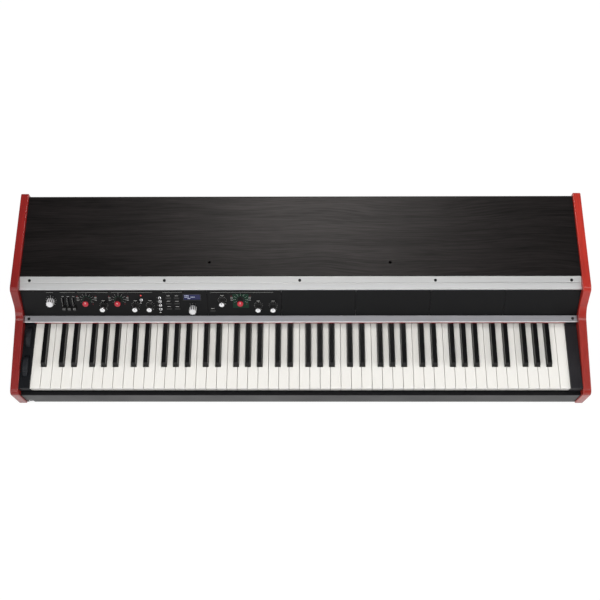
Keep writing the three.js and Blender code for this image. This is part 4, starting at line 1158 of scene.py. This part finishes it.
# Push buttons
# Seven black caps with eased edges and a shallow dished top, which sink into their windows.
button_size = (12, 5, 7.2)
button_rim = 0.0007
button_dish = 0.0003
button_end = 0.0059
button_black = textured_finish(
    "button_black", (0.010, 0.010, 0.010, 1), gloss=0.4, swing=0.12, grain=2600, depth=0.00002
)
button_model = drawn_block("button_model", button_size)
pick("FACE", lambda face: face.normal.z > 0.9)
bpy.ops.mesh.inset(thickness=button_rim)
bpy.ops.transform.translate(value=(0, 0, -button_dish))
pick("EDGE", lambda edge: all(abs(v.co.x) > button_end for v in edge.verts))
bpy.ops.mesh.bevel(offset=0.0004, segments=3)
end_shaping()
for name in buttons:
    button = placed_copy(button_model, name + "_cap", on_slope @ shift(*slope_middle(name)))
    dress(button, button_black, name, "button_plastic", name)
discard(button_model)

# Display and lamp
# A dark blue window with rows of lit blocks behind it, in a thin black bezel, and a red lamp in a
# small bright ring over the little toggle.
display_size = (38, 15)
display_rows = ((4.2, (0, 1, 2)), (0, (0, 1, 2, 4, 5, 6)), (-4.2, (2, 3)))
display_face = -0.4
block_pitch = 3.4
first_block = -15.5
glow_deep = (0.03, 0.035, 0.13, 1)
glow_bright = (0.06, 0.07, 0.25, 1)
bezel_rim = 1.7
lamp_reach = 12.5

display_blue, tree, shader = new_finish("display_blue", (0.010, 0.012, 0.06, 1), 0.12, shine=0.3)
shader.inputs["Emission Strength"].default_value = 0.10
glow_tone = remap(tree, noise(tree, own_place(tree), (1, 1, 1), 120, 2), 0.3, 0.7, 0, 1)
glow_colour = mixed_colour(tree, glow_tone, glow_deep, glow_bright)
wire(tree, glow_colour, shader.inputs["Emission Color"])
dress_solid("display_window", "display_glass", 0.0003, display_blue, "case", "display_glass")
lit_block, tree, shader = new_finish("lit_block", (0.27, 0.29, 0.38, 1), 0.4)
shader.inputs["Emission Color"].default_value = (0.62, 0.67, 0.88, 1)
shader.inputs["Emission Strength"].default_value = 0.35
vary_roughness(tree, shader, 500, 0.35, 0.5)
display_middle = slope_middle("display_window")
block_model = ink_bar("block_model", 2.4, 2.2)
blocks = []
for along, columns in display_rows:
    for column in columns:
        across = display_middle.x + first_block + column * block_pitch
        blocks.append(
            (block_model, on_slope @ shift(across, display_middle.y + along, display_face))
        )
dress(joined_copies("display_blocks", blocks), lit_block, "case", "display_glass")
discard(block_model)


def open_frame(name, width, height, rim, thickness, ease):
    """A flat rectangular frame, thickened, with the edges of its outer face eased"""
    collar = primitive(bpy.ops.mesh.primitive_plane_add, name, size=1)
    start_shaping(collar, select_all=True)
    bpy.ops.transform.resize(value=(width / 1000, height / 1000, 1))
    bpy.ops.mesh.inset(thickness=rim / 1000)
    bpy.ops.mesh.delete(type="FACE")
    bpy.ops.mesh.select_all(action="SELECT")
    bpy.ops.mesh.extrude_region_move(TRANSFORM_OT_translate={"value": (0, 0, thickness / 1000)})
    pick("EDGE", lambda edge: all(v.co.z > thickness / 2000 for v in edge.verts))
    bpy.ops.mesh.bevel(offset=ease / 1000, segments=2)
    return end_shaping()


bezel_width, bezel_height = (side + 2 * bezel_rim for side in display_size)
bezel = open_frame("display_bezel", bezel_width, bezel_height, 1.5, 0.6, 0.2)
bezel.data.transform(slope_spot(display_middle.x, display_middle.y))
dress(bezel, button_black, "case", "display_glass")

lamp_spot = at_joint("mini_toggle_flip") @ shift(0, lamp_reach, -toggle_pivot_height)
lamp_ring = turned("lamp_ring", [(2.6, 0), (2.6, 0.8), (2.4, 1.1), (1.8, 1.1), (1.7, 0.4)], 32)
lamp_red, tree, shader = new_finish("lamp_red", (0.6, 0.02, 0.02, 1), 0.25, coat=0.5)
shader.inputs["Emission Color"].default_value = (1.0, 0.05, 0.04, 1)
shader.inputs["Emission Strength"].default_value = 0.5
vary_roughness(tree, shader, 900, 0.18, 0.35)
lamp_dome = turned("lamp_dome", [(1.6, 0.2), (1.6, 1.2), (1.4, 1.8), (0.9, 2.2), (0.4, 2.3)], 24)
for part, finish in ((lamp_ring, knob_black), (lamp_dome, lamp_red)):
    part.data.transform(lamp_spot)
    dress(part, finish, "case", "chrome")

# White keys
# Fifty-two keys moulded in ivory-white plastic, each with a thin lip over a plain front and its
# top edges rounded. The keys of the middle octave are separate, and the others move in two banks.
white_pitch = 0.0235
keyboard_left = -0.612
white_ease = 0.00045
lip_depth = 0.0035
ivory_white = (0.86, 0.85, 0.81, 1)
ivory_warm = (0.845, 0.83, 0.785, 1)

ivory, tree, shader = new_finish("ivory_plastic", ivory_white, 0.3, coat=0.15, coat_roughness=0.12)
place = own_place(tree)
from_left = sums(tree, "SUBTRACT", axes(tree, place)["X"], keyboard_left)
key_number = sums(tree, "FLOOR", sums(tree, "DIVIDE", from_left, white_pitch), 0)
key_tone = add_node(tree, "TexWhiteNoise", noise_dimensions="1D")
wire(tree, key_number, key_tone.inputs["W"])
cloud = noise(tree, place, (1, 1, 1), 14, 1)
mottle = sums(tree, "MULTIPLY", cloud, remap(tree, key_tone.outputs["Value"], 0, 1, 0.1, 1.0))
mottled = mixed_colour(tree, mottle, ivory_white, ivory_warm)
wire(tree, mottled, shader.inputs["Base Color"])
wire(tree, remap(tree, cloud, 0.2, 0.8, 0.29, 0.33), shader.inputs["Roughness"])
add_bump(tree, shader, noise(tree, place, (1, 1, 1), 900, 3), 0.000006)


def rounded_keys(node, name, ease, steps, least_angle, lowest):
    """A copy of a CAD node of keys, with its sharp outer edges above a height rounded"""
    start_shaping(merged_copy(node, name))
    sharp = math.radians(least_angle)

    def on_rim(edge):
        if not edge.is_manifold or not edge.is_convex or edge.calc_face_angle() < sharp:
            return False
        return all(vertex.co.z > lowest for vertex in edge.verts)

    pick("EDGE", on_rim)
    bpy.ops.mesh.bevel(offset=ease, segments=steps, affect="EDGES")
    return end_shaping()


single_whites = ["key_" + letter + "4" for letter in "cdefgab"]
for node in ["bass_white_keys", *single_whites, "treble_white_keys"]:
    keys = rounded_keys(node, node + "_ivory", white_ease, 2, 35, keys_top - lip_depth)
    dress(keys, ivory, node, "white_key", node)

# Black keys
# Thirty-six narrow keys of matt black plastic between the white ones, with tapered sides, a
# sloping front and well rounded edges.
black_ease = 0.0009
black_start = keys_top - 0.0002
ebony = textured_finish(
    "matt_black_plastic",
    (0.0035, 0.0035, 0.004, 1),
    gloss=0.2,
    swing=0.06,
    grain=1800,
    depth=0.00001,
    shine=0.3,
)
single_blacks = ["key_" + letter + "_sharp4" for letter in "cdfga"]
for node in ["bass_black_keys", *single_blacks, "treble_black_keys"]:
    keys = rounded_keys(node, node + "_matt", black_ease, 3, 25, black_start)
    dress(keys, ebony, node, "black_key", node)

# Key frame
# A folded tray of zinc-plated steel under the keys, with a stop rail in front.
zinc, tree, shader = new_finish("zinc_plate", (0.55, 0.56, 0.57, 1), 0.4, metallic=1.0)
spangle = add_node(tree, "TexVoronoi", own_place(tree))
spangle.inputs["Scale"].default_value = 160
wire(tree, remap(tree, spangle.outputs["Distance"], 0, 0.7, 0.3, 0.5), shader.inputs["Roughness"])
for slot in frame["nodes"]["key_frame"].material_slots:
    slot.material = zinc

# Felt strip
# A strip of red felt glued under the front edge of the lower rail. It hides the rear of the keys
# and shows as a thin red line.
felt_low = at_keys(-612, 150.5, 11.75)
felt_high = at_keys(610, 158, 12.75)
felt_red = (0.34, 0.018, 0.024, 1)
felt_dark = (0.22, 0.010, 0.014, 1)
felt_light = (0.46, 0.035, 0.040, 1)
felt, tree, shader = new_finish("red_felt", felt_red, 0.95)
shader.inputs["Sheen Weight"].default_value = 0.6
shader.inputs["Sheen Roughness"].default_value = 0.4
fibres = noise(tree, own_place(tree), (1, 1, 1), 2400, 6)
felt_tone = remap(tree, fibres, 0.3, 0.7, 0, 1)
felt_colour = mixed_colour(tree, felt_tone, felt_dark, felt_light)
wire(tree, felt_colour, shader.inputs["Base Color"])
add_bump(tree, shader, fibres, 0.0002)
strip = drawn_block("felt_strip", (felt_high - felt_low) * 1000, (felt_low + felt_high) * 500)
pick("EDGE", lambda edge: abs(edge.verts[0].co.x - edge.verts[1].co.x) > 0.1)
bpy.ops.mesh.bevel(offset=0.00025, segments=2)
end_shaping()
dress(strip, felt, "case", "red_knob")

# Blocks beside the keyboard
# Two solid blocks painted satin black, with an eased front edge. The left one is slotted for the
# wheels, and both carry the ends of the lower rail.
for node, paint_black in (
    ("wheel_block", (0.006, 0.007, 0.009, 1)),
    ("end_block_right", (0.019, 0.018, 0.021, 1)),
):
    paint = textured_finish(
        node + "_paint", paint_black, gloss=0.3, swing=0.12, grain=1500, depth=0.00003, shine=0.25
    )
    dress_solid(node, node + "_painted", 0.0006, paint, "case", "block_black")

# Performance wheels
# Two rubber-coated wheels on steel axles in the left block. The front one has a thumb groove, and
# the rear one a raised bar at its middle.
wheel_sides = 160
groove_radius = 0.007
groove_centre = 0.0348
tread_start = 0.0265
bar_start = 0.0285
bar_half_width = 0.0021
bar_share = 0.9875
wheel_rest = {"mod_wheel": 30, "pitch_wheel": 0}
half_wheel = [
    (2.5, 8.5),
    (2.5, 5.5),
    (24.0, 5.5),
    (24.6, 4.9),
    (26.2, 4.9),
    (26.8, 5.5),
    (28.6, 5.4),
    (29.6, 4.7),
    (30.0, 3.5),
]
wheel_profile = [(radius, -side) for radius, side in half_wheel] + half_wheel[::-1]
rubber = textured_finish(
    "soft_rubber",
    (0.005, 0.007, 0.011, 1),
    gloss=0.5,
    swing=0.15,
    grain=1200,
    depth=0.00003,
    shine=0.35,
)
for name, rest_turn in wheel_rest.items():
    wheel = turned(name + "_rubber", wheel_profile, wheel_sides)
    start_shaping(wheel)
    mesh = bmesh.from_edit_mesh(wheel.data)
    for vertex in mesh.verts:
        radius = math.hypot(vertex.co.x, vertex.co.y)
        angle = math.atan2(vertex.co.y, -vertex.co.x)
        side_reach = groove_centre * abs(math.sin(angle))
        if radius < tread_start or side_reach >= groove_radius or math.cos(angle) < 0:
            continue
        groove_rise = math.sqrt(groove_radius**2 - side_reach**2)
        groove_floor = groove_centre * math.cos(angle) - groove_rise
        if name == "mod_wheel" and radius > groove_floor:
            vertex.co.xy *= groove_floor / radius
        if name == "pitch_wheel" and radius > bar_start and side_reach < bar_half_width:
            vertex.co.xy *= bar_share
    bmesh.update_edit_mesh(wheel.data)
    end_shaping(25)
    axle = Matrix.Translation(joints[name + "_turn"]["pos_m"])
    wheel.data.transform(axle @ turn(rest_turn, "X") @ turn(90, "Y"))
    dress(wheel, rubber, name, "wheel_plastic", name)

# Front rail
# A board under the front of the keys, painted satin black, with a rounded top edge. At its left
# end an arched notch holds the headphone socket: a black bush with a bright ring round its bore.
phones_across = -0.6261
phones_back = 0.0125
phones_height = 0.0187
rail_paint = textured_finish(
    "rail_paint",
    (0.008, 0.008, 0.009, 1),
    gloss=0.3,
    swing=0.08,
    grain=1500,
    depth=0.00003,
    shine=0.1,
)
dress_solid("front_rail", "front_rail_painted", 0.0006, rail_paint, "case", "front_rail_paint")
phones_place = (phones_across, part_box("front_rail")[0].y + phones_back, phones_height)
phones_bush = turned(
    "phones_bush",
    [(3.25, -6.4), (3.25, 11.9), (3.5, 12.1), (5.6, 12.1), (5.8, 11.9), (5.8, 0)],
)
phones_collar = primitive(
    bpy.ops.mesh.primitive_torus_add,
    "phones_collar",
    major_radius=0.0043,
    minor_radius=0.0007,
    major_segments=32,
    minor_segments=12,
    location=(0, 0, 0.0117),
)
smooth_shading(40)
for part, finish, slot_name in (
    (phones_bush, button_black, "black_sheet"),
    (phones_collar, bright_plate, "chrome"),
):
    part.data.transform(Matrix.Translation(phones_place) @ turn(90, "X"))
    dress(part, finish, "case", slot_name)

# Base board
# A thick board under the whole case, painted black, with screws along its edges. It stands on six
# rubber feet, each held by a screw in a recess.
foot_height = 0.008
foot_rows = (-0.5465, 0, 0.5465)
foot_lines = (-0.1749, 0.1851)
base_screw_rows = (-0.6, -0.4, -0.2, 0, 0.2, 0.4, 0.6)
base_screw_lines = (-0.19, 0.21)
base_paint = textured_finish(
    "base_paint", (0.015, 0.015, 0.016, 1), gloss=0.5, swing=0.15, grain=700, depth=0.00008
)


def on_foot(face):
    """Whether a face of the base board is part of a foot"""
    heights = [v.co.z for v in face.verts]
    return max(heights) < foot_height + 0.00001 and min(heights) < foot_height - 0.0005


base = merged_copy("base_board", "base_board_painted")
start_shaping(base)
pick("FACE", on_foot)
bpy.ops.mesh.delete(type="FACE")
pick("EDGE", lambda edge: edge.is_boundary)
bpy.ops.mesh.edge_face_add()
end_shaping()
dress(base, base_paint, "case", "case_board", "base_board")
foot_rubber = textured_finish(
    "foot_rubber", (0.016, 0.016, 0.016, 1), gloss=0.65, swing=0.15, grain=900, depth=0.00006
)
foot_model = turned(
    "foot_model",
    [
        (4.5, 3.5),
        (4.7, 0.4),
        (5.2, 0),
        (12.2, 0),
        (13.4, 0.5),
        (14.2, 1.8),
        (14.2, 6.6),
        (13.4, 8.0),
    ],
    48,
)
for row, across in enumerate(foot_rows):
    for line, back in enumerate(foot_lines):
        name = f"foot_{row}_{line}"
        spot = Matrix.Translation((across, back, 0))
        dress(placed_copy(foot_model, name, spot), foot_rubber, "case", "case_board")
        screw = placed_copy(screw_model, name + "_screw", spot @ shift(out=3.4) @ turn(180, "X"))
        dress(screw, zinc, "case", "zinc_steel")
for across in base_screw_rows:
    for back in base_screw_lines:
        name = f"base_screw_{round(across * 10)}_{round(back * 10)}"
        spot = Matrix.Translation((across, back, foot_height)) @ turn(180, "X")
        dress(placed_copy(screw_model, name, spot), black_oxide, "case", "black_sheet")
discard(foot_model)

# Rear panel
# A steel sheet across the back, painted black. It carries the mains inlet, the power switch, four
# jack sockets, two round control sockets and a square data socket.
sheet_step = 0.002
jack_places = (-0.440, -0.415, -0.370, -0.345)
round_socket_places = (-0.300, -0.272)
inlet_place, rocker_place, data_place = -0.560, -0.518, -0.240
socket_height = at_keys(0, 0, 5).z
rear_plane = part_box("rear_panel")[1].y - sheet_step
out_of_rear = turn(-90, "X")
sheet_paint = textured_finish(
    "sheet_paint", (0.014, 0.014, 0.015, 1), gloss=0.42, swing=0.12, grain=1300, depth=0.00005
)
dress_solid("rear_panel", "rear_sheet", 0.0003, sheet_paint, "case", "black_sheet")


def rear_spot(across, height=socket_height, depth=0.0):
    """The matrix of a place on the rear sheet, with Z out of it and depth into it"""
    return Matrix.Translation((across, rear_plane - depth, height)) @ out_of_rear


jack_nut = turned(
    "jack_nut",
    [
        (4.8, -6.4),
        (4.8, 0),
        (6.6, 0),
        (6.7, 0.3),
        (6.7, 1.7),
        (6.0, 2.1),
        (4.6, 2.1),
        (4.6, -6.3),
    ],
    6,
)
jack_collar = turned(
    "jack_collar",
    [
        (3.8, -6.2),
        (3.8, 2.0),
        (5.2, 2.0),
        (5.4, 2.2),
        (5.2, 2.6),
        (3.6, 2.6),
        (3.3, 2.3),
        (3.3, -6.0),
    ],
)
socket_core = turned("socket_core", [(3.0, -5.8), (3.4, -5.0), (3.4, -3.5)])
for number, across in enumerate(jack_places, 1):
    for model, label, finish, slot_name in (
        (socket_core, "core", pointer_black, "black_sheet"),
        (jack_nut, "nut", bright_plate, "chrome"),
        (jack_collar, "collar", bright_plate, "chrome"),
    ):
        piece = placed_copy(model, f"jack_{number}_{label}", rear_spot(across))
        dress(piece, finish, "case", slot_name)
din_shell = turned(
    "din_shell",
    [(7.6, -9.5), (8.2, -0.5), (8.2, 0.6), (7.8, 0.9), (7.0, 0.9), (6.8, 0.6), (6.8, -6.0)],
    40,
)
din_pin = turned("din_pin", [(0.7, -6.2), (0.7, -2.2), (0.5, -1.8), (0.3, -1.8)], 12)
for number, across in enumerate(round_socket_places, 1):
    name = f"round_socket_{number}"
    spot = rear_spot(across)
    core = placed_copy(socket_core, name + "_core", spot @ Matrix.Diagonal((2.03, 2.03, 1, 1)))
    dress(core, pointer_black, "case", "black_sheet")
    dress(placed_copy(din_shell, name + "_shell", spot), bright_plate, "case", "chrome")
    for pin in range(5):
        pin_spot = spot @ turn(45 * pin - 90) @ shift(0, 4.9)
        dress(placed_copy(din_pin, f"{name}_pin_{pin}", pin_spot), bright_plate, "case", "chrome")
for name, across, width, height, rim, proud, depth, finish in (
    ("inlet_collar", inlet_place, 26.8, 19.2, 1.8, 1.2, 1.0, button_black),
    ("rocker_collar", rocker_place, 15.2, 22.2, 1.2, 0.9, 0.8, button_black),
    ("data_socket_shell", data_place, 8.5, 7.8, 0.4, 0.6, 10.0, bright_plate),
):
    collar = open_frame(name, width, height, rim, proud + depth, rim * 0.3)
    collar.data.transform(rear_spot(across) @ shift(out=-depth))
    dress(collar, finish, "case", "black_sheet")
inlet_pin = drawn_block("inlet_pin", (2, 4, 12))
pick("EDGE", lambda edge: all(v.co.z > 0 for v in edge.verts))
bpy.ops.mesh.bevel(offset=0.0005, segments=2)
end_shaping()
for number, (step, rise) in enumerate(((-0.007, -0.0015), (0, 0.0025), (0.007, -0.0015)), 1):
    spot = rear_spot(inlet_place + step, socket_height + rise, 0.0092)
    dress(placed_copy(inlet_pin, f"inlet_pin_{number}", spot), bright_plate, "case", "chrome")
tongue = placed_copy(
    inlet_pin,
    "data_socket_tongue",
    rear_spot(data_place, depth=0.0065) @ Matrix.Diagonal((2.3, 0.75, 0.8, 1)),
)
dress(tongue, pointer_white, "case", "black_sheet")
discard(socket_core, jack_nut, jack_collar, din_shell, din_pin, inlet_pin)

# Power rocker
# A black paddle that tips over its pin, with a bar and a ring moulded on its two halves.
rocker_tilt = 7
rocker_face = 0.0086
rocker_half = 0.0095
mark_reach = 0.0048
dress_solid(
    "power_rocker", "rocker_paddle", 0.0004, button_black, "power_rocker", "rocker_plastic"
)
rocker_dip = rocker_half * math.tan(math.radians(rocker_tilt))
pivot = Matrix.Translation(joints["power_rocker_flip"]["pos_m"]) @ turn(-rocker_tilt, "X")
on_bar = ink_bar("on_mark", 0.7, 3.6, 0.2)
off_ring = turned("off_mark", [(1.8, -0.3), (1.8, 0.2), (1.2, 0.2), (1.2, -0.1)], 28)
for mark, side in ((on_bar, 1), (off_ring, -1)):
    flat = Matrix.Translation((0, rocker_face - rocker_dip * 1.5, side * mark_reach))
    mark.data.transform(pivot @ flat @ turn(-side * rocker_tilt, "X") @ out_of_rear)
    dress(mark, ink, "power_rocker", "rocker_plastic")

# Rear screws
# Fourteen black oxide screws in two rows, which hold the rear sheet to the case.
rear_screw_places = (-0.615, -0.480, -0.200, 0.0, 0.200, 0.400, 0.615)
rear_screw_heights = {"low": 0.032, "high": 0.160}
for number, across in enumerate(rear_screw_places, 1):
    for row, height in rear_screw_heights.items():
        name = f"rear_screw_{number}_{row}"
        screw = placed_copy(screw_model, name, rear_spot(across, height))
        dress(screw, black_oxide, "case", "black_sheet")
discard(screw_model)
